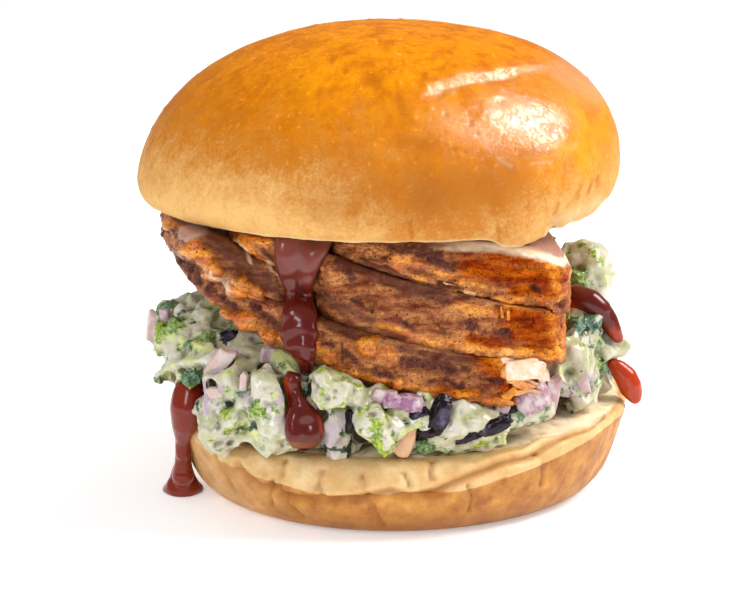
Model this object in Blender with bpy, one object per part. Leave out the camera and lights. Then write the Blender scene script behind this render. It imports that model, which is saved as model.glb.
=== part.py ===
"""A rib sandwich: a brioche bun, dressed broccoli salad, five slices of roast rib and barbecue sauce.

The front of the sandwich faces -Y. All sizes below are millimetres, and MM turns them into metres.
The foot of the bun stands on Z = 0, and the last step centres the sandwich over the origin.
"""

import math

import bmesh
import bpy
from mathutils import Vector, noise
from mathutils.bvhtree import BVHTree

MM = 0.001
GAP = 0.5  # air kept between pieces that touch

# The lower half of the bun, a shallow bowl of crust with a pale, squashed lip at the front.
HEEL_CENTRE = (5.0, 0.0)
HEEL_RADIUS = 53.5
HEEL_FOOT_RADIUS = 41.0
HEEL_HEIGHT = 20.5
LIP_DROP = 9.5  # how far the edge of the crust sinks below the top at the front
LIP_WIDTH = 6.5  # the pale slope between the sunken crust and the top, at the front
EDGE_WIDTH = 2.0  # the same slope elsewhere
FRONT_SAG = 2.6  # the top itself sinks this much at the front
FRONT_ANGLE = math.radians(262)
FRONT_SPREAD = math.radians(52)

# The upper half of the bun, a dome that leans right and is lifted at the front by the ribs.
CROWN_CENTRE = (-0.3, 1.0)
CROWN_RADIUS = 54.6
CROWN_CUT_RADIUS = 49.8
CROWN_CUT_HEIGHT = 64.9  # the cut face above the table, on the crown's axis
CROWN_RIM = 8.0  # from the cut face up to the widest ring
RIM_RISE = 1.6  # the widest ring lies this much higher at the right, and lower at the left
CROWN_DOME = 33.5  # from the widest ring up to the top
CROWN_HOLLOW = 1.0
TOP_POWER = 2.6  # above 2, so the dome is flat on top with full shoulders
SIDE_POWER = 1.9
DOME_LEAN = 4.0
FRONT_LIFT = 0.028  # rise of the cut face towards the front, per mm
LEFT_LIFT = 0.015

# The ribs, fanned out: all meet at the left and drop to the right.
SLICE_THICKNESS = 10.8
SLICE_ROUNDING = 1.8  # of the long edges
SLICE_GAP = 0.6
BEND = 0.8
RIB_FRONT = -43.5
RIB_BACK = 40.0
BACK_DROP = 0.036  # fall of every slice towards the back, per mm
LEFT_TIP_HEIGHT = 59.5  # the bottom slice thins out below this height

# The salad: florets and lumps as balls, (x, y, z, radius), over a flat core.
CORE_CENTRE = (4.0, 0.0)
CORE_RADIUS = 39.5
LEFT_LUMPS = (
    (-41.0, -13.0, 36.5, 8.5),
    (-40.0, -17.0, 28.0, 8.0),
    (-43.0, -3.0, 36.5, 8.0),
    (-37.0, -24.0, 31.5, 7.5),
)
FRONT_LUMPS = (
    (-31.0, -32.0, 30.0, 8.5),
    (-33.0, -35.0, 23.5, 6.5),
    (-22.0, -38.0, 30.0, 8.0),
    (-21.0, -41.0, 23.0, 6.0),
    (-9.5, -39.5, 31.5, 7.5),
    (-8.0, -41.0, 23.0, 5.5),
    (4.0, -40.5, 25.5, 8.0),
    (14.0, -40.0, 24.5, 6.0),
    (25.0, -38.5, 24.0, 5.5),
    (35.0, -31.0, 24.5, 6.0),
)
RIGHT_LUMPS = (
    (43.0, -15.0, 27.5, 8.0),
    (42.0, 0.0, 32.0, 8.5),
    (43.5, 6.0, 42.0, 7.0),
    (42.0, 14.0, 30.0, 8.5),
    (50.0, -3.0, 27.5, 7.0),
    (44.0, -8.0, 36.0, 7.0),
    (49.0, 8.0, 35.5, 7.5),
    (48.5, 12.0, 46.5, 7.0),
    (51.0, -4.0, 38.0, 5.0),
    (50.0, 16.0, 28.0, 6.5),
    (46.0, 21.0, 34.0, 7.0),
)
BACK_LUMP_COUNT = 13
BACK_LUMP_RADIUS = 7.2
BACK_RING = 42.5
BACK_ANGLES = (math.radians(28), math.radians(188))
SALAD_GRAIN = 2.4  # spacing of the points on the heap's surface
SALAD_SHARE = 0.26  # of the triangles that are kept

COLUMNS = 44  # round each turned piece
SLICE_COLUMNS = 32
RUN_COLUMNS = 10


def clear_scene():
    for item in list(bpy.data.objects):
        bpy.data.objects.remove(item)


def finish(name, colour, roughness, coat=0.0):
    """A food surface: colour in linear light, roughness, and a wet or egg-washed coat."""
    made = bpy.data.materials.new(name)
    made.use_nodes = True
    shader = made.node_tree.nodes["Principled BSDF"]
    shader.inputs["Base Color"].default_value = (*colour, 1.0)
    shader.inputs["Roughness"].default_value = roughness
    shader.inputs["Metallic"].default_value = 0.0
    shader.inputs["Coat Weight"].default_value = coat
    return made


def add_piece(name, mesh, material):
    """One named object with smooth faces and sharp corners where it has them."""
    piece = bpy.data.objects.new(name, mesh)
    bpy.context.scene.collection.objects.link(piece)
    mesh.shade_smooth()
    mesh.set_sharp_from_angle(angle=math.radians(40))
    mesh.materials.clear()
    mesh.materials.append(material)
    return piece


def mesh_of_rings(name, rings):
    """Closes a stack of rings of points, in mm. The first and the last ring are single points."""
    shape = bmesh.new()
    loops = [[shape.verts.new(Vector(point) * MM) for point in ring] for ring in rings]
    for low, high in zip(loops, loops[1:]):
        count = max(len(low), len(high))
        for i in range(count):
            j = (i + 1) % count
            corners = [low[i % len(low)], low[j % len(low)], high[j % len(high)], high[i % len(high)]]
            shape.faces.new(list(dict.fromkeys(corners)))
    bmesh.ops.recalc_face_normals(shape, faces=shape.faces)
    mesh = bpy.data.meshes.new(name)
    shape.to_mesh(mesh)
    shape.free()
    return mesh


def angles(count):
    return [2 * math.pi * i / count for i in range(count)]


def swell(angle, seed):
    """A hand-shaped bun is never quite round: a radius factor near 1."""
    return 1 + 0.008 * math.sin(2 * angle + seed) + 0.006 * math.sin(3 * angle + 2.1 * seed)


def turned(radius_and_height, lean=0.0, seed=0.0):
    """Rings for a profile of (radius, height) rows, each a function of the angle."""
    rings = []
    for row in radius_and_height:
        ring = []
        for angle in angles(COLUMNS):
            radius, height = row(angle)
            radius *= swell(angle, seed)
            ring.append((radius * math.cos(angle) + lean * height, radius * math.sin(angle), height))
        rings.append(ring)
    return [rings[0][:1], *rings[1:-1], rings[-1][:1]]


# ---------------------------------------------------------------- the bun


def front_share(angle):
    """1 where the front of the heel is squashed down, fading to 0 at the sides and the back."""
    off = math.remainder(angle - FRONT_ANGLE, 2 * math.pi)
    return math.exp(-((off / FRONT_SPREAD) ** 4))


def heel_side(height):
    """Radius of the crust at a height: a bowl that opens upwards."""
    return HEEL_FOOT_RADIUS + (HEEL_RADIUS - HEEL_FOOT_RADIUS) * (height / HEEL_HEIGHT) ** 0.37


def heel_top(angle):
    return HEEL_HEIGHT - FRONT_SAG * front_share(angle)


def crust_edge(angle):
    return HEEL_HEIGHT - EDGE_WIDTH - (LIP_DROP - EDGE_WIDTH) * front_share(angle)


def slope_width(angle):
    return EDGE_WIDTH + (LIP_WIDTH - EDGE_WIDTH) * front_share(angle)


def heel_rows():
    def foot(share):
        return lambda angle: (HEEL_FOOT_RADIUS * share, 0.0)

    def crust(share):
        def row(angle):
            height = crust_edge(angle) * share
            return heel_side(height), height

        return row

    def lip(turn):
        def row(angle):
            edge, top, width = crust_edge(angle), heel_top(angle), slope_width(angle)
            radius = heel_side(edge) - width + width * math.cos(turn)
            return radius, edge + (top - edge) * math.sin(turn)

        return row

    def crumb(share):
        return lambda angle: (
            (heel_side(crust_edge(angle)) - slope_width(angle)) * share,
            heel_top(angle) + (HEEL_HEIGHT - heel_top(angle)) * (1 - share),
        )

    rows = [foot(share) for share in (0, 0.55, 0.97)]
    rows += [crust(share) for share in (0.03, 0.12, 0.3, 0.6, 1.0)]
    rows += [lip(math.radians(turn)) for turn in (22, 45, 68)]
    return rows + [crumb(share) for share in (1.0, 0.8, 0.45, 0.0)]


def make_heel(crust):
    mesh = mesh_of_rings("bun_heel", turned(heel_rows(), seed=0.7))
    heel = add_piece("bun_heel", mesh, crust)
    heel.location = (HEEL_CENTRE[0] * MM, HEEL_CENTRE[1] * MM, 0.0)
    return heel


def rim_height(angle):
    return CROWN_RIM + RIM_RISE * math.cos(angle)


def crown_rows():
    def cut(share):
        return lambda angle: (CROWN_CUT_RADIUS * share, CROWN_HOLLOW * (1 - share**2))

    def rim(turn):
        radius = CROWN_CUT_RADIUS + (CROWN_RADIUS - CROWN_CUT_RADIUS) * math.sin(turn)
        return lambda angle: (radius, rim_height(angle) * (1 - math.cos(turn)))

    def dome(turn):
        return lambda angle: (
            CROWN_RADIUS * max(math.cos(turn), 0.0) ** (2 / TOP_POWER),
            rim_height(angle)
            + (CROWN_RIM + CROWN_DOME - rim_height(angle)) * math.sin(turn) ** (2 / SIDE_POWER),
        )

    rows = [cut(share) for share in (0, 0.45, 0.8, 0.96)]
    rows += [rim(math.radians(turn)) for turn in (18, 42, 66)]
    rows += [dome(math.radians(turn)) for turn in (1, 9, 18, 28, 39, 51, 63, 74, 83, 88)]
    return rows + [lambda angle: (0.0, CROWN_RIM + CROWN_DOME)]


def make_crown(crust):
    mesh = mesh_of_rings("bun_crown", turned(crown_rows(), lean=DOME_LEAN / CROWN_DOME, seed=2.0))
    crown = add_piece("bun_crown", mesh, crust)
    crown.location = (CROWN_CENTRE[0] * MM, CROWN_CENTRE[1] * MM, CROWN_CUT_HEIGHT * MM)
    crown.rotation_euler = (-math.atan(FRONT_LIFT), math.atan(LEFT_LIFT), 0.0)
    return crown


def under_crown(x, y):
    """Highest point that a slice may reach below the crown."""
    rise = FRONT_LIFT * (CROWN_CENTRE[1] - y) + LEFT_LIFT * (CROWN_CENTRE[0] - x)
    return CROWN_CUT_HEIGHT + rise - 2 * GAP


# ---------------------------------------------------------------- the ribs


def blend_down(first, second):
    """The lower of two levels, with a soft bend of a millimetre or two where they cross."""
    return -BEND * math.log(math.exp(-first / BEND) + math.exp(-second / BEND))


def backward(y):
    return BACK_DROP * (y - RIB_FRONT)


def bottom_under(x, y):
    curl = 0.0045 * max(-20.0 - x, 0.0) ** 2
    return 33.8 - 0.27 * x + 0.0026 * x * x + curl - backward(y)


def bottom_over(x, y):
    return blend_down(bottom_under(x, y) + SLICE_THICKNESS, LEFT_TIP_HEIGHT - backward(y))


def left_over(x, y):
    return blend_down(bottom_over(x, y) + SLICE_GAP + 7.5, under_crown(x, y))


def middle_over(x, y):
    return 58.6 - 0.30 * x + 0.0016 * x * x - backward(y)


def top_over(x, y):
    drooping_end = 0.011 * max(x - 20.0, 0.0) ** 2
    return min(65.4 - drooping_end - 0.3 * backward(y), under_crown(x, y))


def just_over(surface):
    return lambda x, y: surface(x, y) + SLICE_GAP


def rib_outline(left, right, front, back, count=SLICE_COLUMNS, end_power=7.0, bark_power=1.8):
    """Seen from above: the right end is cut square and the left end is the rounded outside."""
    centre_x, centre_y = (left + right) / 2, (front + back) / 2
    outline = []
    for angle in angles(count):
        power = 2 / (end_power if math.cos(angle) > 0 else bark_power)
        x = math.copysign(abs(math.cos(angle)) ** power, math.cos(angle)) * (right - left) / 2
        y = math.copysign(abs(math.sin(angle)) ** power, math.sin(angle)) * (back - front) / 2
        outline.append((centre_x + x, centre_y + y))
    return outline


def make_slice(name, material, under, over, left, right, front=RIB_FRONT, back=RIB_BACK, **ends):
    """A slab between two surfaces, with rounded long edges."""
    outline = rib_outline(left, right, front, back, **ends)
    centre = Vector(((left + right) / 2, (front + back) / 2))

    def ring(inset, share):
        points = []
        for x, y in outline:
            spoke = Vector((x, y)) - centre
            spoke *= max(1 - inset / spoke.length, 0.04 + 0.2 / inset if inset else 1.0)
            px, py = centre + spoke
            low, high = under(px, py), over(px, py)
            points.append((px, py, low + (max(high, low + 0.6) - low) * share))
        return points

    def middle(surface):
        return [(centre.x, centre.y, surface(centre.x, centre.y))]

    half = SLICE_ROUNDING / SLICE_THICKNESS
    rings = [middle(under), *(ring(depth, 0) for depth in (24.0, 12.0, SLICE_ROUNDING))]
    rings += [ring(0.4, half), ring(0, 0.5), ring(0.4, 1 - half)]
    rings += [*(ring(depth, 1) for depth in (SLICE_ROUNDING, 12.0, 24.0)), middle(over)]
    return add_piece(name, mesh_of_rings(name, rings), material)


def make_ribs(meat):
    over_bottom, over_left, over_middle = (
        just_over(surface) for surface in (bottom_over, left_over, middle_over)
    )
    left_front = RIB_FRONT + 3.0
    return [
        make_slice("rib_slice_bottom", meat, bottom_under, bottom_over, -48.0, 37.5),
        make_slice(
            "rib_slice_left", meat, over_bottom, left_over, -49.0, -17.0,
            front=left_front, bark_power=2.0,
        ),
        make_slice(
            "rib_slice_left_top", meat, over_left, under_crown, -33.0, -17.5,
            front=left_front, back=30.0, bark_power=2.4,
        ),
        make_slice(
            "rib_slice_middle", meat, over_bottom, middle_over, -15.5, 43.0,
            end_power=8, bark_power=7,
        ),
        make_slice(
            "rib_slice_top", meat, over_middle, top_over, -10.5, 44.0,
            end_power=8, bark_power=7,
        ),
    ]


# ---------------------------------------------------------------- the salad


def grown_copy(piece, by):
    """A hidden cutter: the piece, swollen by the air gap."""
    cutter = piece.copy()
    cutter.name = piece.name + "_cutter"
    bpy.context.scene.collection.objects.link(cutter)
    cutter.hide_render = True
    cutter.display_type = "WIRE"
    swelling = cutter.modifiers.new("swelling", "DISPLACE")
    swelling.mid_level = 0.0
    swelling.strength = by * MM
    return cutter


def cut_by(piece, cutters):
    for cutter in cutters:
        cut = piece.modifiers.new("cut", "BOOLEAN")
        cut.operation = "DIFFERENCE"
        cut.object = cutter


def settled_mesh(piece):
    """The mesh after the piece's modifiers, with only its largest body kept."""
    graph = bpy.context.evaluated_depsgraph_get()
    mesh = bpy.data.meshes.new_from_object(piece.evaluated_get(graph))
    shape = bmesh.new()
    shape.from_mesh(mesh)
    bmesh.ops.triangulate(shape, faces=shape.faces)
    left, bodies = set(shape.verts), []
    while left:
        body, edge = set(), [left.pop()]
        while edge:
            vert = edge.pop()
            body.add(vert)
            near = {link.other_vert(vert) for link in vert.link_edges} & left
            left -= near
            edge.extend(near)
        bodies.append(body)
    largest = max(bodies, key=len)
    bmesh.ops.delete(shape, geom=[vert for vert in shape.verts if vert not in largest])
    shape.to_mesh(mesh)
    shape.free()
    return mesh


def back_lumps():
    """Two tiers of florets round the back, where the heap leans on the ribs."""
    lumps = []
    start, end = BACK_ANGLES
    for i in range(BACK_LUMP_COUNT):
        angle = start + (end - start) * i / (BACK_LUMP_COUNT - 1)
        wobble = noise.noise(Vector((i * 1.7, 0.3, 0.0)))
        for tier, height in enumerate((27.0, 36.5)):
            ring = BACK_RING + 2.5 * wobble - 2.0 * tier
            x = HEEL_CENTRE[0] * (1 - tier * 0.4) + ring * math.cos(angle + 0.12 * tier)
            y = ring * math.sin(angle + 0.12 * tier)
            lumps.append((x, y, height + 3.0 * wobble, BACK_LUMP_RADIUS + 1.4 * wobble))
    return lumps


def core_rings():
    """The middle of the heap, from inside the heel up to inside the bottom slice."""
    middle_x, middle_y = CORE_CENTRE

    def ring(radius, height):
        ways = [(math.cos(angle), math.sin(angle)) for angle in angles(24)]
        points = [(middle_x + radius * across, middle_y + radius * along) for across, along in ways]
        return [(x, y, height(x, y)) for x, y in points]

    def floor(x, y):
        return HEEL_HEIGHT - 4.0

    def roof(x, y):
        return bottom_under(x, y) + 3.0

    rings = [ring(0.0, floor)[:1], ring(CORE_RADIUS, floor)]
    rings += [ring(CORE_RADIUS * share, roof) for share in (1.0, 0.7, 0.35)]
    return [*rings, ring(0.0, roof)[:1]]


def make_salad(material, neighbours):
    shape = bmesh.new()
    shape.from_mesh(mesh_of_rings("core", core_rings()))
    for x, y, z, radius in (*LEFT_LUMPS, *FRONT_LUMPS, *RIGHT_LUMPS, *back_lumps()):
        ball = bmesh.ops.create_icosphere(shape, subdivisions=2, radius=radius * MM)
        bmesh.ops.translate(shape, verts=ball["verts"], vec=Vector((x, y, z)) * MM)
    mesh = bpy.data.meshes.new("broccoli_salad")
    shape.to_mesh(mesh)
    shape.free()
    salad = add_piece("broccoli_salad", mesh, material)
    fused = salad.modifiers.new("fused", "REMESH")
    fused.mode = "VOXEL"
    fused.voxel_size = SALAD_GRAIN * MM
    fewer = salad.modifiers.new("fewer", "DECIMATE")
    fewer.ratio = SALAD_SHARE
    cut_by(salad, [grown_copy(piece, GAP) for piece in neighbours])
    whole = settled_mesh(salad)
    salad.modifiers.clear()
    salad.data = whole
    salad.data.materials.clear()
    salad.data.materials.append(material)
    return salad


# ---------------------------------------------------------------- the sauce


def trees_of(pieces):
    graph = bpy.context.evaluated_depsgraph_get()
    trees = []
    for piece in pieces:
        shape = bmesh.new()
        shape.from_object(piece, graph)
        shape.transform(piece.matrix_world)
        trees.append(BVHTree.FromBMesh(shape))
        shape.free()
    return trees


def first_skin(trees, start, direction):
    """How far along a ray, in mm, the first piece lies."""
    hits = [tree.ray_cast(start * MM, direction) for tree in trees]
    reached = [hit[3] / MM for hit in hits if hit[0] is not None]
    return min(reached, default=None)


def make_run(name, material, pieces, on, bearing, stations):
    """Sauce that has run down the side seen from a bearing.

    A station is (across, out, height, half width, thickness). Across is measured to the right of
    someone who looks at that side, and out from the middle of the sandwich: the run lies there, or
    on the pieces it is on where they reach further. All the pieces are cut out of it.
    """
    outward = Vector((math.cos(bearing), math.sin(bearing), 0.0))
    sideways = Vector((-math.sin(bearing), math.cos(bearing), 0.0))
    trees = trees_of(on)
    middle = []
    for across, out, height, half_width, thickness in stations:
        start = outward * 100 + sideways * across + Vector((0, 0, height))
        reached = first_skin(trees, start, -outward) or 100.0
        reached = min(reached - thickness * 0.35, 100.0 - out)
        middle.append((start - outward * reached, half_width, thickness))
    rings = []
    for i, (point, half_width, thickness) in enumerate(middle):
        before, after = middle[max(i - 1, 0)][0], middle[min(i + 1, len(middle) - 1)][0]
        thick_way = sideways.cross(after - before).normalized()
        ring = []
        for turn in angles(RUN_COLUMNS):
            place = point + sideways * half_width * math.cos(turn) + thick_way * thickness * math.sin(turn)
            place.z = max(place.z, 0.0)
            ring.append(place)
        rings.append(ring)
    first, last = middle[0][0], middle[-1][0]
    start_cap = first + (first - middle[1][0]).normalized() * 0.8
    end_cap = last + (last - middle[-2][0]).normalized() * 0.8
    end_cap.z = max(end_cap.z, 0.0)
    run = add_piece(name, mesh_of_rings(name, [[start_cap], *rings, [end_cap]]), material)
    cut_by(run, [grown_copy(piece, GAP * 0.8) for piece in pieces])
    whole = settled_mesh(run)
    run.modifiers.clear()
    run.data = whole
    run.data.materials.clear()
    run.data.materials.append(material)
    return run


def make_sauces(material, heel, crown, ribs, salad):
    pieces = [heel, crown, salad, *ribs]
    front, left, right = (math.radians(bearing) for bearing in (270, 200, -4))
    return [
        make_run("sauce_run_ribs", material, pieces, pieces, front, (
            (-15.0, 44.0, 65.4, 6.2, 1.6),
            (-15.2, 43.6, 61.0, 6.8, 1.8),
            (-15.2, 43.6, 57.0, 4.6, 1.8),
            (-15.0, 43.6, 53.0, 3.3, 1.7),
            (-15.5, 43.6, 49.0, 3.6, 1.7),
            (-15.8, 43.6, 45.0, 3.5, 1.7),
            (-15.5, 43.0, 41.5, 2.2, 1.5),
        )),
        make_run("sauce_run_salad", material, pieces, pieces, front, (
            (-16.0, 0.0, 34.0, 2.2, 1.6),
            (-16.0, 0.0, 30.5, 3.6, 1.9),
            (-15.8, 0.0, 26.5, 4.3, 2.0),
            (-15.8, 0.0, 23.0, 4.3, 2.0),
            (-15.8, 0.0, 20.0, 3.0, 1.8),
        )),
        make_run("sauce_run_left", material, pieces, [heel], left, (
            (4.8, 46.0, 26.5, 2.2, 2.0),
            (4.4, 46.5, 23.5, 3.4, 2.4),
            (3.2, 47.5, 19.0, 3.4, 2.4),
            (1.4, 47.6, 14.0, 2.5, 2.2),
            (0.0, 47.0, 9.5, 2.1, 2.3),
            (-1.2, 46.0, 6.0, 2.8, 3.2),
            (-2.0, 45.0, 3.0, 4.2, 4.4),
            (-2.2, 44.6, 0.9, 4.7, 5.0),
        )),
        make_run("sauce_run_right", material, pieces, [heel], right, (
            (-1.5, 52.0, 28.8, 2.2, 1.8),
            (-1.4, 56.4, 27.8, 3.0, 2.2),
            (-1.0, 58.9, 25.0, 3.4, 2.4),
            (-0.5, 59.8, 21.4, 3.4, 2.4),
            (0.0, 59.6, 18.4, 2.6, 2.2),
        )),
        make_run("sauce_run_behind", material, pieces, [salad], right, (
            (-3.0, 43.0, 43.0, 2.2, 1.6),
            (-3.2, 47.0, 44.8, 3.4, 2.0),
            (-3.4, 51.0, 44.4, 4.0, 2.0),
            (-3.4, 54.4, 41.6, 3.8, 2.0),
            (-3.2, 56.0, 38.2, 3.0, 2.0),
            (-3.0, 56.4, 35.6, 2.0, 1.7),
        )),
    ]


def centre_on_origin(pieces):
    """Stands the whole sandwich over the origin by moving the empty that carries it."""
    graph = bpy.context.evaluated_depsgraph_get()
    corners = []
    for piece in pieces:
        evaluated = piece.evaluated_get(graph)
        corners += [evaluated.matrix_world @ vert.co for vert in evaluated.data.vertices]
    low = [min(corner[axis] for corner in corners) for axis in range(3)]
    high = [max(corner[axis] for corner in corners) for axis in range(3)]
    carrier = bpy.data.objects.new("sandwich", None)
    bpy.context.scene.collection.objects.link(carrier)
    for piece in pieces:
        piece.parent = carrier
    carrier.location = (-(low[0] + high[0]) / 2, -(low[1] + high[1]) / 2, -low[2])


def remove_cutters():
    for item in list(bpy.data.objects):
        if item.hide_render:
            bpy.data.objects.remove(item)


clear_scene()
crust_finish = finish("brioche_crust", (0.72, 0.38, 0.11), 0.42, coat=0.4)
meat_finish = finish("roast_rib", (0.40, 0.13, 0.04), 0.40, coat=0.3)
salad_finish = finish("dressed_broccoli", (0.55, 0.62, 0.34), 0.40, coat=0.2)
sauce_finish = finish("barbecue_sauce", (0.14, 0.02, 0.012), 0.12, coat=0.6)

heel_piece = make_heel(crust_finish)
crown_piece = make_crown(crust_finish)
rib_pieces = make_ribs(meat_finish)
bpy.context.view_layer.update()
salad_piece = make_salad(salad_finish, [heel_piece, crown_piece, *rib_pieces])
bpy.context.view_layer.update()
sauce_pieces = make_sauces(sauce_finish, heel_piece, crown_piece, rib_pieces, salad_piece)
remove_cutters()
centre_on_origin([heel_piece, crown_piece, *rib_pieces, salad_piece, *sauce_pieces])
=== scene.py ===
"""A rib sandwich, built up from the heel of the bun to its crown.

Lengths are millimetres, measured from a point on the table under the crown; -Y is the front.
"""

from math import atan, cos, pi, radians, sin

import bmesh
import bpy
import numpy as np
from mathutils import Matrix, Vector
from mathutils.bvhtree import BVHTree
from mathutils.kdtree import KDTree


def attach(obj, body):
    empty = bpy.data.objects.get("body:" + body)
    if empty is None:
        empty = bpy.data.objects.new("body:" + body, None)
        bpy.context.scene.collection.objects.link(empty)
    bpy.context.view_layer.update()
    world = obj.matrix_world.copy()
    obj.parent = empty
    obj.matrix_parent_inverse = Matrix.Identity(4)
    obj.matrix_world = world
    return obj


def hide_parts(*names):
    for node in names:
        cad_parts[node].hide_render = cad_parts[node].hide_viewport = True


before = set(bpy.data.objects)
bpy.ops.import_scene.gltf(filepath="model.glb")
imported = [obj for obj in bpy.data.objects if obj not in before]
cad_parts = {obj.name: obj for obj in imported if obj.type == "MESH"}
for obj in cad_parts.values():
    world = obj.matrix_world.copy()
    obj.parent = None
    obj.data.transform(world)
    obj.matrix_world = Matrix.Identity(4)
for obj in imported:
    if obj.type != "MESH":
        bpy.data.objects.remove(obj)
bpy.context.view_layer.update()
MM = 0.001

# ==== Stage: camera, floor and light ====
# A long lens a little above the bun, a white table, and soft window light from the right and
# slightly behind, with a narrow lamp at the front left whose streaks show in the wet sauce.

# the packed sandwich is centred over its own box; the sandwich below is drawn round the crown
CENTRED = np.array([-3.337, -0.382, 0])

LENS = 124
SENSOR = 36
DISTANCE = 600
TILT = radians(14)
LOOKS_AT = np.array([0, 0, 43])
PHOTO = (752, 591)  # pixels


def placed_object(name, data):
    thing = bpy.data.objects.new(name, data)
    bpy.context.scene.collection.objects.link(thing)
    return thing


camera = placed_object("camera", bpy.data.cameras.new("camera"))
camera.data.lens = LENS
camera.data.sensor_width = SENSOR
camera.data.clip_end = 20
to_camera = np.array([0, -cos(TILT), sin(TILT)])
view_up = np.array([0, sin(TILT), cos(TILT)])
camera_at = LOOKS_AT + DISTANCE * to_camera
camera.location = Vector((camera_at + CENTRED) * MM)
camera.rotation_euler = (pi / 2 - TILT, 0, 0)
bpy.context.scene.camera = camera


def line_of_sight(pixel):
    """Direction from the camera through a pixel of the 752 by 591 frame."""
    across = (pixel[0] - PHOTO[0] / 2) / PHOTO[0] * SENSOR / LENS
    up = (PHOTO[1] / 2 - pixel[1]) / PHOTO[0] * SENSOR / LENS
    ray = -to_camera + across * np.array([1, 0, 0]) + up * view_up
    return ray / np.linalg.norm(ray)


def linear(hex_colour):
    """An sRGB hex colour as linear light."""
    channels = [int(hex_colour[i : i + 2], 16) / 255 for i in (1, 3, 5)]
    return (*(c / 12.92 if c < 0.04045 else ((c + 0.055) / 1.055) ** 2.4 for c in channels), 1)


def put(tree, kind, settings=None, links=None):
    """Adds a node with its settings, linked to other nodes' first outputs or to the outputs given."""
    node = tree.nodes.new("ShaderNode" + kind)
    for name, value in (settings or {}).items():
        if name in ("From", "To"):
            node.inputs[name + " Min"].default_value, node.inputs[name + " Max"].default_value = value
        elif isinstance(name, int) or name in node.inputs:
            node.inputs[name].default_value = linear(value) if str(value).startswith("#") else value
        else:
            setattr(node, name, value)
    for name, source in (links or {}).items():
        output = source if isinstance(source, bpy.types.NodeSocket) else source.outputs[0]
        tree.links.new(output, node.inputs[name])
    return node


def blank_material(name):
    made = bpy.data.materials.new(name)
    made.use_nodes = True
    made.node_tree.nodes.clear()
    return made, made.node_tree


# melamine tabletop: matt white, the faintest mottling
table_white, tree = blank_material("matt_white_tabletop")
mottle = put(tree, "TexNoise", {"Scale": 9, "Detail": 3})
tint = put(tree, "MixRGB", {"Color1": "#F1F1F1", "Color2": "#EDEDEE"}, {"Fac": mottle})
skin = put(tree, "BsdfPrincipled",
           {"Roughness": 0.6, "Specular IOR Level": 0.2, "Emission Color": "#FFFFFF",
            "Emission Strength": 0.35}, {"Base Color": tint})
put(tree, "OutputMaterial", links={"Surface": skin})

TABLE_SIDE, TABLE_FRONT, TABLE_BACK = 5, -2, 6  # metres
table_mesh = bpy.data.meshes.new("table")
table_corners = [(x, y, 0) for x, y in ((-TABLE_SIDE, TABLE_FRONT), (TABLE_SIDE, TABLE_FRONT),
                                        (TABLE_SIDE, TABLE_BACK), (-TABLE_SIDE, TABLE_BACK))]
table_mesh.from_pydata(table_corners, [], [(0, 1, 2, 3)])
table_mesh.materials.append(table_white)
table = placed_object("table", table_mesh)

SANDWICH_MIDDLE = Vector((0, 0, 0.05))


def softbox(name, place, width, height, watts, colour="#FFFFFF", mirrored=False):
    """A rectangular soft light that faces the sandwich; a fill light isn't mirrored in it."""
    light = bpy.data.lights.new(name, "AREA")
    light.shape = "RECTANGLE"
    light.size, light.size_y = width, height
    light.energy = watts
    light.color = linear(colour)[:3]
    lamp = placed_object(name, light)
    lamp.location = place
    lamp.rotation_euler = (SANDWICH_MIDDLE - Vector(place)).to_track_quat("-Z", "Y").to_euler()
    lamp.visible_glossy = mirrored


softbox("window", (0.76, 0.04, 0.76), 0.5, 0.62, 13.2, "#FFFAF2", mirrored=True)
softbox("front_glint", (-0.45, -0.95, 0.75), 0.2, 0.75, 4.6, "#F8FAFF", mirrored=True)
softbox("back_screen", (0.75, 1, 0.75), 0.8, 0.4, 3, "#FFFFFF")
softbox("front_fill", (-0.15, -1.3, 0.55), 1.2, 0.8, 3.3, "#FDFCFF")
softbox("left_fill", (-1.1, -0.25, 0.45), 0.7, 0.7, 2.7, "#F8F9FF")
softbox("overhead_fill", (-0.2, 0, 1.3), 0.9, 0.9, 3.6)

world = bpy.data.worlds.new("studio")
bpy.context.scene.world = world
world.use_nodes = True
backdrop = world.node_tree.nodes["Background"]
backdrop.inputs["Color"].default_value = linear("#F6F7FA")
backdrop.inputs["Strength"].default_value = 0.32
bpy.context.scene.view_settings.view_transform = "Standard"


# ==== Heel of the bun ====
# The bottom half of a brioche bun: a thin baked crust round pale soft crumb. The filling's weight
# has squashed the front, so the crust's cut edge has sunk and a pale lip bulges over it.

def repeatable(cell, salt):
    """A number from 0 to 1 that belongs to a whole-number place."""
    mix = cell[:, 0] * 73856093 ^ cell[:, 1] * 19349663 ^ cell[:, 2] * 83492791
    mix = mix ^ (salt + 1) * 2654435761
    mix = ((mix ^ (mix >> 13)) * 1274126177) & 0xFFFFFFFF
    return ((mix ^ (mix >> 16)) & 0xFFFFFF) / 0x1000000


def swells(points, size, salt=0):
    """Smooth unevenness from -1 to 1, with bumps about size apart. Size may differ by axis."""
    place = points / np.asarray(size, float)
    cell = np.floor(place).astype(np.int64)
    part = place - cell
    part = part * part * (3 - 2 * part)
    total = np.zeros(len(points))
    for corner in np.ndindex(2, 2, 2):
        weight = np.prod(np.where(corner, part, 1 - part), axis=1)
        total += weight * repeatable(cell + np.array(corner), salt)
    return 2 * total - 1


def rough(points, size, salt=0, layers=3):
    """Swells with finer swells on them."""
    total, weight = 0, 1
    for layer in range(layers):
        total = total + weight * swells(points + 17.3 * layer, np.asarray(size) / 2**layer, salt + layer)
        weight *= 0.5
    return total / 1.7


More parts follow.
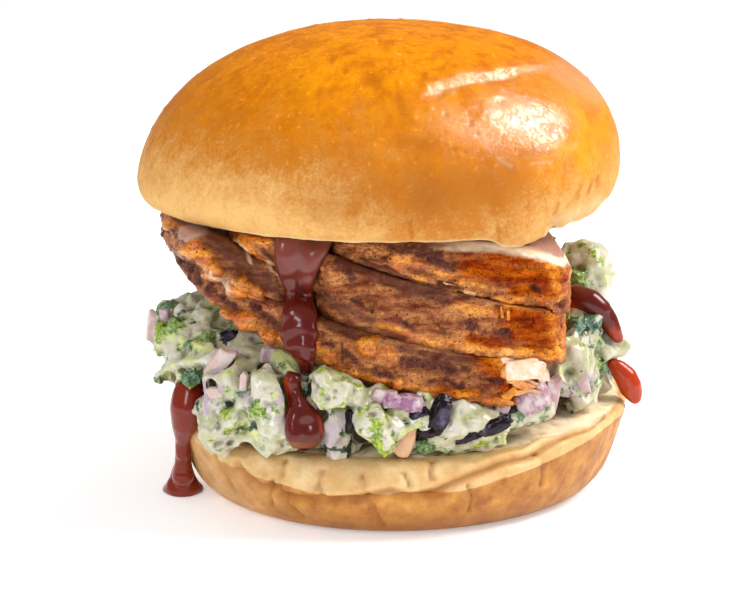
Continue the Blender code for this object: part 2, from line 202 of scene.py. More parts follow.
def scattered(points, size, salt=0):
    """Distance to the nearest of seeds strewn one to a cell, in cells, and that seed's number."""
    place = points / np.asarray(size, float)
    home = np.floor(place).astype(np.int64)
    nearest, number = np.full(len(points), 9), np.zeros(len(points))
    for step in np.ndindex(3, 3, 3):
        cell = home + np.array(step) - 1
        seed = cell + np.stack([repeatable(cell, salt + axis) for axis in range(3)], axis=1)
        gap = np.linalg.norm(place - seed, axis=1)
        closer = gap < nearest
        nearest = np.where(closer, gap, nearest)
        number = np.where(closer, repeatable(cell, salt + 3), number)
    return nearest, number


def step_up(value, low, high):
    """0 below low, 1 above high, and a smooth rise between."""
    share = np.clip((value - low) / (high - low), 0, 1)
    return share * share * (3 - 2 * share)


def near(gap, width):
    """1 where the gap is nothing, fading to 0 about a width away."""
    return np.exp(-((gap / width) ** 2))


def path_gap(points, path):
    """Distance from each point to a line through the path's points."""
    best = np.full(len(points), 1e9)
    for start, end in zip(path, path[1:]):
        along = end - start
        share = np.clip((points - start) @ along / (along @ along), 0, 1)
        best = np.minimum(best, np.linalg.norm(points - start - share[:, None] * along, axis=1))
    return best


def ring_faces(rows, columns):
    """Quads between neighbouring rings, and fans at the single points on both ends.

    Points are numbered: first end, rows of columns, last end."""
    ring = 1 + np.arange(rows * columns).reshape(rows, columns)
    after = np.roll(ring, -1, axis=1)
    quads = np.stack([ring[:-1], after[:-1], after[1:], ring[1:]], axis=-1).reshape(-1, 4)
    last = 1 + rows * columns
    start_fan = [(0, b, a) for a, b in zip(ring[0].tolist(), after[0].tolist())]
    end_fan = [(last, a, b) for a, b in zip(ring[-1].tolist(), after[-1].tolist())]
    return [tuple(quad) for quad in quads.tolist()] + start_fan + end_fan


def mesh_from(name, points, faces):
    mesh = bpy.data.meshes.new(name)
    mesh.from_pydata(points.tolist(), [], faces)
    mesh.shade_smooth()
    return mesh


def points_of(mesh, what="co"):
    flat = np.empty(len(mesh.vertices) * 3)
    mesh.vertices.foreach_get(what, flat)
    return flat.reshape(-1, 3)


def normals_of(mesh):
    return points_of(mesh, "normal")


def move_points(mesh, points):
    mesh.vertices.foreach_set("co", np.asarray(points, float).ravel())
    mesh.update()


def paint(mesh, name, amounts):
    """Stores an amount for each point that the material reads by name."""
    layer = mesh.attributes.get(name) or mesh.attributes.new(name, "FLOAT", "POINT")
    layer.data.foreach_set("value", np.asarray(amounts, np.float32))


def serve(name, mesh, material):
    """Puts a mesh drawn in millimetres round the crown into the packed sandwich's frame."""
    move_points(mesh, (points_of(mesh) + CENTRED) * MM)
    mesh.materials.clear()
    mesh.materials.append(material)
    return placed_object(name, mesh)


def tree_of(mesh):
    shape = bmesh.new()
    shape.from_mesh(mesh)
    found = BVHTree.FromBMesh(shape)
    shape.free()
    return found


def seen_on(tree_of_piece, *pixels):
    """The points of a piece that the camera sees at some pixels."""
    hits = [tree_of_piece.ray_cast(Vector(camera_at), Vector(line_of_sight(pixel))) for pixel in pixels]
    return [np.array(hit[0]) for hit in hits if hit[0] is not None]


def bun_swell(angle, seed):
    """A hand-shaped bun is never quite round."""
    return 1 + 0.008 * np.sin(2 * angle + seed) + 0.006 * np.sin(3 * angle + 2.1 * seed)


HEEL_CENTRE = np.array([5, 0, 0])
HEEL_RADIUS = 53.5
HEEL_FOOT_RADIUS = 41
HEEL_HEIGHT = 20.5
HEEL_COLUMNS = 460
HEEL_FRONT = radians(262)
HEEL_FRONT_SPREAD = radians(52)
HEEL_GIRTH = 52  # turns an angle round the heel into millimetres along its side
BAKED, LIP, CRUMB = 0, 1, 2

heel_angle = np.arange(HEEL_COLUMNS) * 2 * pi / HEEL_COLUMNS
off_front = (heel_angle - HEEL_FRONT + pi) % (2 * pi) - pi
squashed = np.exp(-((off_front / HEEL_FRONT_SPREAD) ** 4))
heel_top = HEEL_HEIGHT - 2.6 * squashed
crust_edge = HEEL_HEIGHT - 2 - 7.5 * squashed
crust_edge += 0.5 * np.sin(heel_angle * 5 + 1) * squashed
crust_edge += 0.35 * np.sin(heel_angle * 11) * squashed
lip_width = 2 + 4.5 * squashed


def heel_side(height):
    return HEEL_FOOT_RADIUS + (HEEL_RADIUS - HEEL_FOOT_RADIUS) * (height / HEEL_HEIGHT) ** 0.37


heel_rows = [(HEEL_FOOT_RADIUS * share + 0 * heel_angle, 0 * heel_angle, BAKED)
             for share in np.linspace(0.06, 0.97, 16)]
for share in np.linspace(0.02, 1, 40) ** 1.4:
    heel_rows.append((heel_side(crust_edge * share), crust_edge * share, BAKED))
for turn in np.radians(np.linspace(3, 90, 26)):
    radius = heel_side(crust_edge) - lip_width + lip_width * cos(turn) ** 0.8
    heel_rows.append((radius, crust_edge + (heel_top - crust_edge) * sin(turn), LIP))
for share in np.linspace(0.985, 0.04, 34):
    rise = heel_top + (HEEL_HEIGHT - heel_top) * (1 - share)
    heel_rows.append(((heel_side(crust_edge) - lip_width) * share, rise, CRUMB))

rings, zones = [], []
for radius, height, zone in heel_rows:
    radius = radius * bun_swell(heel_angle, 0.7)
    rings.append(np.stack([radius * np.cos(heel_angle), radius * np.sin(heel_angle), height + 0 * radius],
                          axis=1))
    zones.append(np.full(HEEL_COLUMNS, zone))
points = np.concatenate([[[0, 0, 0]], *rings, [[0, 0, HEEL_HEIGHT]]]) + HEEL_CENTRE
heel_zone = np.concatenate([[BAKED], *zones, [CRUMB]])
heel_mesh = mesh_from("bun_heel", points, ring_faces(len(heel_rows), HEEL_COLUMNS))
heel_tree = tree_of(heel_mesh)

# the squeezed lip folds over the crust along a crease, and cracks run down from it, in pixels
CREASE = (
    (236, 466), (250, 480), (262, 488), (275, 489), (282, 496), (305, 500), (330, 501), (360, 499),
    (378, 494), (390, 491), (410, 497), (440, 491), (455, 483), (470, 476), (485, 470), (500, 463),
    (530, 456), (560, 436), (585, 429), (600, 416),
)
CRACKS = (
    ((285, 458), (281, 474), (280, 490), (288, 506), (303, 520)),
    ((358, 452), (362, 475), (368, 500), (376, 516), (384, 528)),
    ((433, 458), (430, 470), (432, 479)), ((503, 436), (499, 446)), ((214, 455), (221, 470), (231, 487)),
    ((272, 480), (268, 494), (271, 507)), ((322, 470), (318, 486), (323, 497)), ((404, 472), (410, 486)),
    ((468, 486), (474, 500), (470, 512)), ((538, 452), (545, 470), (543, 486)),
)
crease_gap = path_gap(points, seen_on(heel_tree, *CREASE))
crack_gap = np.min([path_gap(points, seen_on(heel_tree, *crack)) for crack in CRACKS], axis=0)
normals = normals_of(heel_mesh)
height = points[:, 2]
on_side = (heel_zone != CRUMB) * (height > 0.3) * step_up(height, 0.3, 3)
on_crumb = (heel_zone == CRUMB) * 1
around = np.arctan2(points[:, 1], points[:, 0] - HEEL_CENTRE[0])
wrinkle_place, lip_place = (np.stack([around * HEEL_GIRTH, height * drawn_out, 0 * around], axis=1)
                            for drawn_out in (0.25, 0.5))
wrinkles = np.abs(rough(wrinkle_place, 5, 31))
behind = step_up(-np.cos(around - HEEL_FRONT), -0.3, 0.5)
shift = on_side * (0.45 * rough(points, 14, 1) + 0.13 * rough(points, 2.4, 2))
shift -= on_side * 0.55 * near(wrinkles, 0.12) * (0.35 + 0.65 * behind)
shift += (heel_zone == LIP) * (0.25 * swells(points, 4, 4) + 0.16 * rough(lip_place, 1.6, 32))
shift -= 1.05 * near(crease_gap, 0.75) + 0.35 * near(crease_gap, 2.2)
shift += 0.5 * near(crease_gap - 1.9, 1) * on_side
shift -= 1.1 * near(crack_gap, 0.5) * on_side
pore_gap, pore_number = scattered(points, 2.1, 9)
pores = on_crumb * np.where(pore_number > 0.45, near(pore_gap, 0.34), 0)
shift += on_crumb * (0.4 * rough(points, 5, 5) + 0.3 * rough(points, 1.5, 6, 2) - 0.85 * pores)
shift -= 0.25
move_points(heel_mesh, points + normals * shift[:, None])
points = points_of(heel_mesh)
heel_tree = tree_of(heel_mesh)

baked = (heel_zone == BAKED) + 0.35 * rough(points, 6, 8)
# painted light: the crust is made paler on the left, where light from the left falls
painted_light_left = 0.55 * (1 - step_up(points[:, 0], -42, -14))
from_axis = np.hypot(points[:, 0] - HEEL_CENTRE[0], points[:, 1])
paint(heel_mesh, "crust", step_up(baked, 0.25, 0.75) * (1 - painted_light_left))
paint(heel_mesh, "crumb", on_crumb * step_up(from_axis, 53, 51))
# painted shade along the crease under the lip and in the cracks
paint(heel_mesh, "crease", near(crease_gap, 0.9) + near(crack_gap, 0.5) * on_side)
# painted shade in the crumb's pores
paint(heel_mesh, "pore", pores)
# painted shade: the crust is darker low down, except on the left
paint(heel_mesh, "low", (1 - step_up(points[:, 2], 0, 9)) * step_up(points[:, 0], -36, -8))

# baked brioche crust, matt at the foot: golden tan with toasted mottling, painted shade low down and in the
# creases and pores, painted light on the left, and cream crumb above
heel_crust, tree = blank_material("baked_brioche_heel")
masks = {name: put(tree, "Attribute", {"attribute_name": name}).outputs["Fac"]
         for name in ("crust", "crumb", "crease", "low", "pore")}
where = put(tree, "TexCoord").outputs["Object"]
blotch = put(tree, "TexNoise", {"Scale": 190, "Detail": 5, "Roughness": 0.62}, {"Vector": where})
grain = put(tree, "TexNoise", {"Scale": 1500, "Detail": 3, "Roughness": 0.6}, {"Vector": where})
blotches = put(tree, "MapRange", {"From": (0.35, 0.68)}, {"Value": blotch})
tan = put(tree, "MixRGB", {"Color1": "#9E5A12", "Color2": "#CE923A"}, {"Fac": blotches})
low_shade_share = put(tree, "Math", {"operation": "MULTIPLY", 1: 0.8}, {0: masks["low"]})
tan_with_low_shade = put(tree, "MixRGB", {"Color2": "#8E541A"}, {"Fac": low_shade_share, "Color1": tan})
lip_tone = put(tree, "MixRGB", {"Color1": "#D0A262", "Color2": "#E6C690"}, {"Fac": blotches})
sides = put(tree, "MixRGB", {}, {"Fac": masks["crust"], "Color1": lip_tone, "Color2": tan_with_low_shade})
crumb_tone = put(tree, "MixRGB", {"Color1": "#F5DDAF", "Color2": "#FDF1D8"}, {"Fac": grain})
# painted shade: the crumb is darker in its pores
crumb_with_pore_shade = put(tree, "MixRGB", {"Color2": "#D9A869"}, {"Fac": masks["pore"], "Color1": crumb_tone})
all_over = put(tree, "MixRGB", {}, {"Fac": masks["crumb"], "Color1": sides, "Color2": crumb_with_pore_shade})
# painted shade: darker along the crease and in the cracks
crease_shade_share = put(tree, "Math", {"operation": "MULTIPLY", 1: 0.6}, {0: masks["crease"]})
shaded_in_creases = put(tree, "MixRGB", {"Color2": "#A5662A"}, {"Fac": crease_shade_share, "Color1": all_over})
fine_bump = put(tree, "Bump", {"Strength": 0.35, "Distance": 0.0004}, {"Height": grain})
skin = put(tree, "BsdfPrincipled",
           {"Roughness": 0.52, "IOR": 1.45, "Subsurface Weight": 0.12, "Subsurface Scale": 0.002,
            "Subsurface Radius": (1, 0.55, 0.25), "Coat Weight": 0.08, "Coat Roughness": 0.35},
           {"Base Color": shaded_in_creases, "Normal": fine_bump})
put(tree, "OutputMaterial", links={"Surface": skin})

heel = serve("bun_heel_baked", heel_mesh, heel_crust)
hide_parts("bun_heel")
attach(heel, "root")


# ==== Ribs ====
# Five thick slices of smoked pork rib, peppered and roasted: dark bark outside, amber fat along
# the edges, pale meat where they are cut. They fan out from the left, and glaze fills the gaps.

SLICE_THICKNESS = 10.8
SLICE_ROUNDING = 1.8
SLICE_GAP = 0.1
RIB_FRONT = -43.5
RIB_BACK = 40
BACK_DROP = 0.036
LEFT_TIP_HEIGHT = 59.5
CROWN_CENTRE = np.array([-0.3, 1])
CROWN_CUT_HEIGHT = 64.9
FRONT_LIFT = 0.028
LEFT_LIFT = 0.015
CROWN_BEDDING = 0.5  # how deep the crown presses into the slices

# each level below is a height in millimetres at x across and y back, measured on the photo as a
# start, a slope and a bend

def blend_down(first, second, bend=0.8):
    """The lower of two levels, with a soft bend where they cross."""
    return -bend * np.logaddexp(-first / bend, -second / bend)


def backward(y):
    return BACK_DROP * (y - RIB_FRONT)


def under_crown(x, y):
    lift = FRONT_LIFT * (CROWN_CENTRE[1] - y)
    return CROWN_CUT_HEIGHT + lift + LEFT_LIFT * (CROWN_CENTRE[0] - x) - CROWN_BEDDING


def bottom_under(x, y):
    curl = 0.0045 * np.maximum(-20 - x, 0) ** 2
    return 33.8 - 0.27 * x + 0.0026 * x * x + curl - backward(y)


def bottom_over(x, y):
    return blend_down(bottom_under(x, y) + SLICE_THICKNESS, LEFT_TIP_HEIGHT - backward(y))


def left_over(x, y):
    return blend_down(bottom_over(x, y) + SLICE_GAP + 7.5, under_crown(x, y))


def middle_over(x, y):
    return 58.6 - 0.3 * x + 0.0016 * x * x - backward(y)


def top_over(x, y):
    drooping_end = 0.011 * np.maximum(x - 20, 0) ** 2
    return blend_down(65.4 - drooping_end - 0.3 * backward(y), under_crown(x, y))


def above(level):
    return lambda x, y: level(x, y) + SLICE_GAP


def slice_shape(name, under, over, left, right, front, back, end_power, bark_power, columns):
    """A slab between two levels with rounded long edges, and where each point lies on it."""
    centre = np.array([(left + right) / 2, (front + back) / 2])
    turn = np.arange(columns) * 2 * pi / columns
    for _ in range(6):  # spreads the columns along the outline, closest together in front
        power = 2 / np.where(np.cos(turn) > 0, end_power, bark_power)
        x = np.sign(np.cos(turn)) * np.abs(np.cos(turn)) ** power * (right - left) / 2
        y = np.sign(np.sin(turn)) * np.abs(np.sin(turn)) ** power * (back - front) / 2
        step = np.hypot(np.roll(x, -1) - x, np.roll(y, -1) - y)
        step = step * (1 + 1.3 * step_up(-y, (back - front) * 0.2, (back - front) * 0.4))
        walked = np.concatenate([[0], np.cumsum(step)])
        whole_turn = np.append(turn, turn[0] + 2 * pi)
        turn = np.interp(np.arange(columns) / columns * walked[-1], walked, whole_turn)
    outline = np.stack([x, y], axis=1) + centre
    if name in ("rib_slice_middle", "rib_slice_top"):  # their right ends slant to the back
        outline[:, 0] -= 0.09 * (outline[:, 1] - front) * step_up(outline[:, 0], 5, right)
    # towards the right the slices are pressed together, so their edges are squarer
    squareness = 1 - 0.85 * step_up(outline[:, :1], -6, 20)
    insets = [26, 18, 12, 8.5, 6.6, 5.2, 4.2, 3.6, SLICE_ROUNDING]
    edge = [(1.3, 0.01), (0.85, 0.04), (0.45, 0.08), (0.2, 0.12), (0.05, 0.17)]
    rows = [(inset, 0) for inset in insets] + edge
    rows += [(0, share) for share in np.linspace(0.2, 0.8, 19)]
    rows += [(inset, 1 - share) for inset, share in reversed(edge)]
    rows += [(inset, 1) for inset in reversed(insets)]
    points = []
    spoke = outline - centre
    length = np.linalg.norm(spoke, axis=1, keepdims=True)
    for inset, share in rows:
        depth = inset * squareness if inset < 2 else inset
        if share > 0.8 and inset < 3:  # the upper edge is rounder than the lower one
            depth = depth * (1 + 0.9 * squareness)
            if name == "rib_slice_top":  # and its fat cap slopes down to the front
                depth = depth + 2.4 * (share - 0.8) / 0.2 * (1 - squareness)
        place = centre + spoke * np.maximum(1 - depth / length, 0.05)
        low, high = under(place[:, 0], place[:, 1]), over(place[:, 0], place[:, 1])
        height = low + (np.maximum(high, low + 0.6) - low) * share
        points.append(np.column_stack([place, height]))
    ends = [[*centre, float(surface(*centre))] for surface in (under, over)]
    points = np.concatenate([ends[:1], *points, ends[1:]])
    far_in = 30
    inset, share = (np.concatenate([[first], np.repeat([row[i] for row in rows], columns), [last]])
                    for i, first, last in ((0, far_in, far_in), (1, 0, 1)))
    return mesh_from(name, points, ring_faces(len(rows), columns)), share, inset


def in_view(points):
    """Where points show in the 752 by 591 frame."""
    away = np.asarray(points) - camera_at
    depth = away @ -to_camera
    scale = LENS / SENSOR * PHOTO[0] / depth
    across, down = PHOTO[0] / 2 + away[:, 0] * scale, PHOTO[1] / 2 - away @ view_up * scale
    return np.column_stack([across, down, 0 * depth])


def stroke(seen, width, *path):
    """1 along a line drawn in the frame, fading to 0 about width pixels from it."""
    corners = [np.array([*corner, 0]) for corner in path]
    gap = path_gap(seen, corners) if len(corners) > 1 else np.linalg.norm(seen - corners[0], axis=1)
    return near(gap, width)


def strokes(seen, *drawn):
    """The strongest of several strokes, each a width and a path; 0 if there are none."""
    return np.max([np.zeros(len(seen)), *(stroke(seen, width, *path) for width, *path in drawn)], axis=0)


# underside, top, left and right end, front, back, squareness of the ends and the bark, columns
RIB_SLICES = {
    "rib_slice_bottom": (bottom_under, bottom_over, -48, 33.2, RIB_FRONT, RIB_BACK, 7, 1.8, 720),
    "rib_slice_left": (above(bottom_over), left_over, -49, -17, RIB_FRONT + 3, RIB_BACK, 7, 2, 480),
    "rib_slice_left_top": (above(left_over), under_crown, -33, -17.5, RIB_FRONT + 3, 30, 7, 2.4, 300),
    "rib_slice_middle": (above(bottom_over), middle_over, -15.5, 43, RIB_FRONT + 1, RIB_BACK, 8, 7, 660),
    "rib_slice_top": (above(middle_over), top_over, -10.5, 44, RIB_FRONT + 2, RIB_BACK, 8, 7, 660),
}

# What the bark shows where, drawn over the frame as widths and paths in pixels: purple-black
# pepper crust, bands of amber fat, deep orange where the fat has taken the smoke, cut meat, and
# brown glaze in the grooves.
PEPPER_CRUST = {
    "bottom": [(9, (176, 240), (184, 262), (196, 280), (208, 296)), (7, (252, 306), (266, 318), (284, 330)),
               (9, (404, 362), (440, 368), (468, 374)), (5, (322, 342), (332, 346)),
               (4, (345, 352), (356, 362)), (4, (214, 296), (232, 306)), (5, (375, 372), (392, 378)),
               (6, (430, 381), (462, 386)), (5, (476, 376), (500, 382))],
    "middle": [(7, (338, 262), (352, 278)), (9, (408, 288), (444, 300)), (7, (466, 326), (506, 334)),
               (4, (352, 300), (372, 312)), (3.5, (400, 322), (414, 330)), (6, (360, 262), (384, 282))],
    "top": [(9, (392, 249), (418, 252), (452, 254)), (7, (430, 262), (452, 268)),
            (4, (440, 285), (462, 290)), (3.5, (534, 288), (540, 292))],
    "left": [(5, (172, 228), (180, 240)), (4, (266, 250), (274, 262))],
    "left_top": [(4, (262, 250), (276, 264))],
}
AMBER_FAT = {
    "bottom": [(4, (345, 374), (400, 386), (450, 395), (505, 402)), (5, (305, 338), (318, 350), (340, 370)),
               (8, (362, 346), (390, 352)), (9, (500, 352), (512, 372)), (6, (300, 356), (312, 362)),
               (7, (215, 318), (250, 326)), (5, (262, 336), (284, 342)), (4, (204, 300), (212, 306))],
    "middle": [(4, (378, 326), (430, 342), (468, 346)), (8, (554, 308), (558, 340)),
               (4, (505, 304), (560, 308)), (5, (470, 350), (560, 354)), (4, (455, 306), (490, 312)),
               (5, (540, 352), (552, 358))],
    "top": [(4, (395, 268), (425, 282)), (4, (462, 284), (492, 290)), (6, (552, 262), (560, 296)),
            (4, (500, 300), (560, 300)), (4, (395, 258), (450, 276)), (4, (452, 296), (480, 298))],
    "left": [(6, (168, 215), (184, 226))],
    "left_top": [(7, (236, 236), (256, 262)), (4, (240, 236), (268, 242))],
}
DEEP_ORANGE = {
    "bottom": [(15, (488, 358), (512, 386)), (5, (440, 390), (480, 396))],
    "middle": [(15, (514, 316), (554, 324)), (15, (515, 330), (552, 336)), (9, (530, 345), (556, 350)),
               (6, (470, 340), (500, 346))],
    "top": [(13, (470, 268), (510, 274), (556, 278)), (8, (515, 290), (556, 294)),
            (7, (490, 258), (550, 262))],
}
CUT_MEAT = {
    "bottom": [(8, (517, 366), (536, 366)), (6, (220, 272), (229, 288))],
    "top": [(3, (560, 253), (565, 256))],
    "left": [(6, (184, 234), (200, 229))],
}
BROWN_GLAZE = {
    "left": [(9, (212, 240), (240, 262), (286, 298)), (7, (232, 246), (270, 280))],
    "bottom": [(5, (226, 262), (262, 282), (288, 300)), (8, (316, 312), (340, 324)),
               (4.5, (318, 318), (350, 333), (380, 343), (410, 351), (446, 357), (474, 362))],
    "middle": [(6, (318, 296), (344, 312)), (4, (330, 302), (372, 322), (404, 340)),
               (5, (334, 249), (352, 260), (378, 275), (410, 290), (446, 299))],
    "top": [(3.5, (360, 262), (390, 274), (420, 288)), (3, (420, 288), (462, 300))],
}
MEMBRANE = [(1.3, (233, 239), (244, 248), (252, 262)), (1.3, (268, 263), (282, 276), (292, 292)),
            (1, (214, 268), (222, 284), (230, 296))]
# melted fat set in knobs along the edges: pixel, radius in pixels, how proud in millimetres
FAT_KNOBS = [((196, 250), 10, 1.6), ((207, 259), 8, 1.5), ((213, 272), 11, 1.7), ((240, 289), 12, 1.9),
             ((256, 293), 8, 1.5), ((228, 316), 7, 1.2), ((245, 322), 12, 1.5), ((270, 337), 8, 1.2),
             ((367, 347), 11, 1.4), ((209, 303), 6, 0.9), ((312, 346), 10, 1), ((172, 223), 8, 1.3),
             ((183, 219), 5, 0.9), ((331, 358), 8, 0.9), ((353, 373), 6, 0.7), ((398, 384), 7, 0.6),
             ((376, 340), 6, 0.8)]

# smoke-dried bark with melted fat and glaze: rust and black pepper, wet and craggy
bark, tree = blank_material("peppered_rib_bark")
masks = {name: put(tree, "Attribute", {"attribute_name": name}).outputs["Fac"]
         for name in ("pepper", "fat", "lean", "glaze", "orange", "pit", "membrane", "pinkish")}
where = put(tree, "TexCoord").outputs["Object"]
# the meat's grain runs along the slices
along_grain = put(tree, "Mapping", {"Scale": (0.4, 0.9, 1.5)}, {"Vector": where})
patch = put(tree, "TexNoise", {"Scale": 330, "Detail": 8, "Roughness": 0.72}, {"Vector": along_grain})
grit = put(tree, "TexNoise", {"Scale": 1700, "Detail": 5, "Roughness": 0.75}, {"Vector": where})
patches = put(tree, "MapRange", {"From": (0.41, 0.61)}, {"Value": patch})
crust_light = put(tree, "MapRange", {"From": (0.4, 0.66)}, {"Value": grit})
rust, smoked, amber, pale_lean, crust_tone = (
    put(tree, "MixRGB", {"Color1": darker, "Color2": lighter}, {"Fac": light})
    for darker, lighter, light in (("#8A3C1C", "#E69A58", patches), ("#942800", "#DC6C00", patches),
                                   ("#BC5608", "#F8A42C", patches), ("#F6CFA2", "#FFF3DE", patches),
                                   ("#341412", "#8C4C3A", crust_light)))
flesh = put(tree, "MixRGB", {"Color2": "#C48E7C"}, {"Fac": masks["pinkish"], "Color1": pale_lean})
outside = rust
for name, tone in (("orange", smoked), ("fat", amber), ("pepper", crust_tone), ("lean", flesh)):
    outside = put(tree, "MixRGB", {}, {"Fac": masks[name], "Color1": outside, "Color2": tone})
not_lean = put(tree, "Math", {"operation": "SUBTRACT", 0: 1}, {1: masks["lean"]})
# cracked black pepper, coarse and fine: one seed to a cell, and some cells have none
for size_mm, some, widest in ((1.15, 0.64, 0.22), (0.65, 0.5, 0.25)):
    corns = put(tree, "TexVoronoi", {"Scale": 1 / (size_mm * MM), "Randomness": 1}, {"Vector": where})
    number = put(tree, "SeparateColor", {}, {"Color": corns.outputs["Color"]})
    ragged, crowded = (put(tree, "Math", {"operation": "MULTIPLY_ADD", 1: 0.8}, {0: noise, 2: added})
                       for noise, added in ((grit, corns), (patch, number)))
    size = put(tree, "MapRange", {"From": (widest + 0.42, widest + 0.3)}, {"Value": ragged})
    here = put(tree, "MapRange", {"From": (some + 0.4, some + 0.44)}, {"Value": crowded})
    for share in (here, not_lean):
        size = put(tree, "Math", {"operation": "MULTIPLY"}, {0: size, 1: share})
    outside = put(tree, "MixRGB", {"Color2": "#2C120A"}, {"Fac": size, "Color1": outside})
speckle = put(tree, "MapRange", {"From": (0.52, 0.4), "To": (0, 0.55)}, {"Value": grit})
speckle = put(tree, "Math", {"operation": "MULTIPLY"}, {0: speckle, 1: not_lean})
# painted shade in the bark's crevices and round the knobs
crevice_shade_share = put(tree, "Math", {"operation": "MULTIPLY", 1: 0.45}, {0: masks["pit"]})
for share, tone in ((speckle, "#6A2A14"), (crevice_shade_share, "#481407"), (masks["glaze"], "#551A05"),
                    (masks["membrane"], "#E9C29A")):
    outside = put(tree, "MixRGB", {"Color2": tone}, {"Fac": share, "Color1": outside})
wet = put(tree, "Math", {"operation": "MULTIPLY_ADD", "use_clamp": True, 1: 0.6},
          {0: masks["fat"], 2: masks["glaze"]})
oily = put(tree, "MapRange", {"To": (0.5, 1)}, {"Value": wet})
drier = put(tree, "Math", {"operation": "MULTIPLY_ADD", 1: -0.95, 2: 1}, {0: masks["orange"]})
oily = put(tree, "Math", {"operation": "MULTIPLY"}, {0: oily, 1: drier})
dullness = put(tree, "MapRange", {"From": (0.3, 0.7), "To": (0.25, 0.6)}, {"Value": grit})
smoother = put(tree, "MapRange", {"To": (0.85, 0.25)}, {"Value": masks["fat"]})
crags = put(tree, "Bump", {"Distance": 0.0008}, {"Height": grit, "Strength": smoother})
skin = put(tree, "BsdfPrincipled",
           {"IOR": 1.45, "Specular IOR Level": 0.06, "Coat IOR": 1.6, "Coat Roughness": 0.15},
           {"Base Color": outside, "Coat Weight": oily, "Roughness": dullness, "Normal": crags,
            "Coat Normal": crags})
put(tree, "OutputMaterial", links={"Surface": skin})

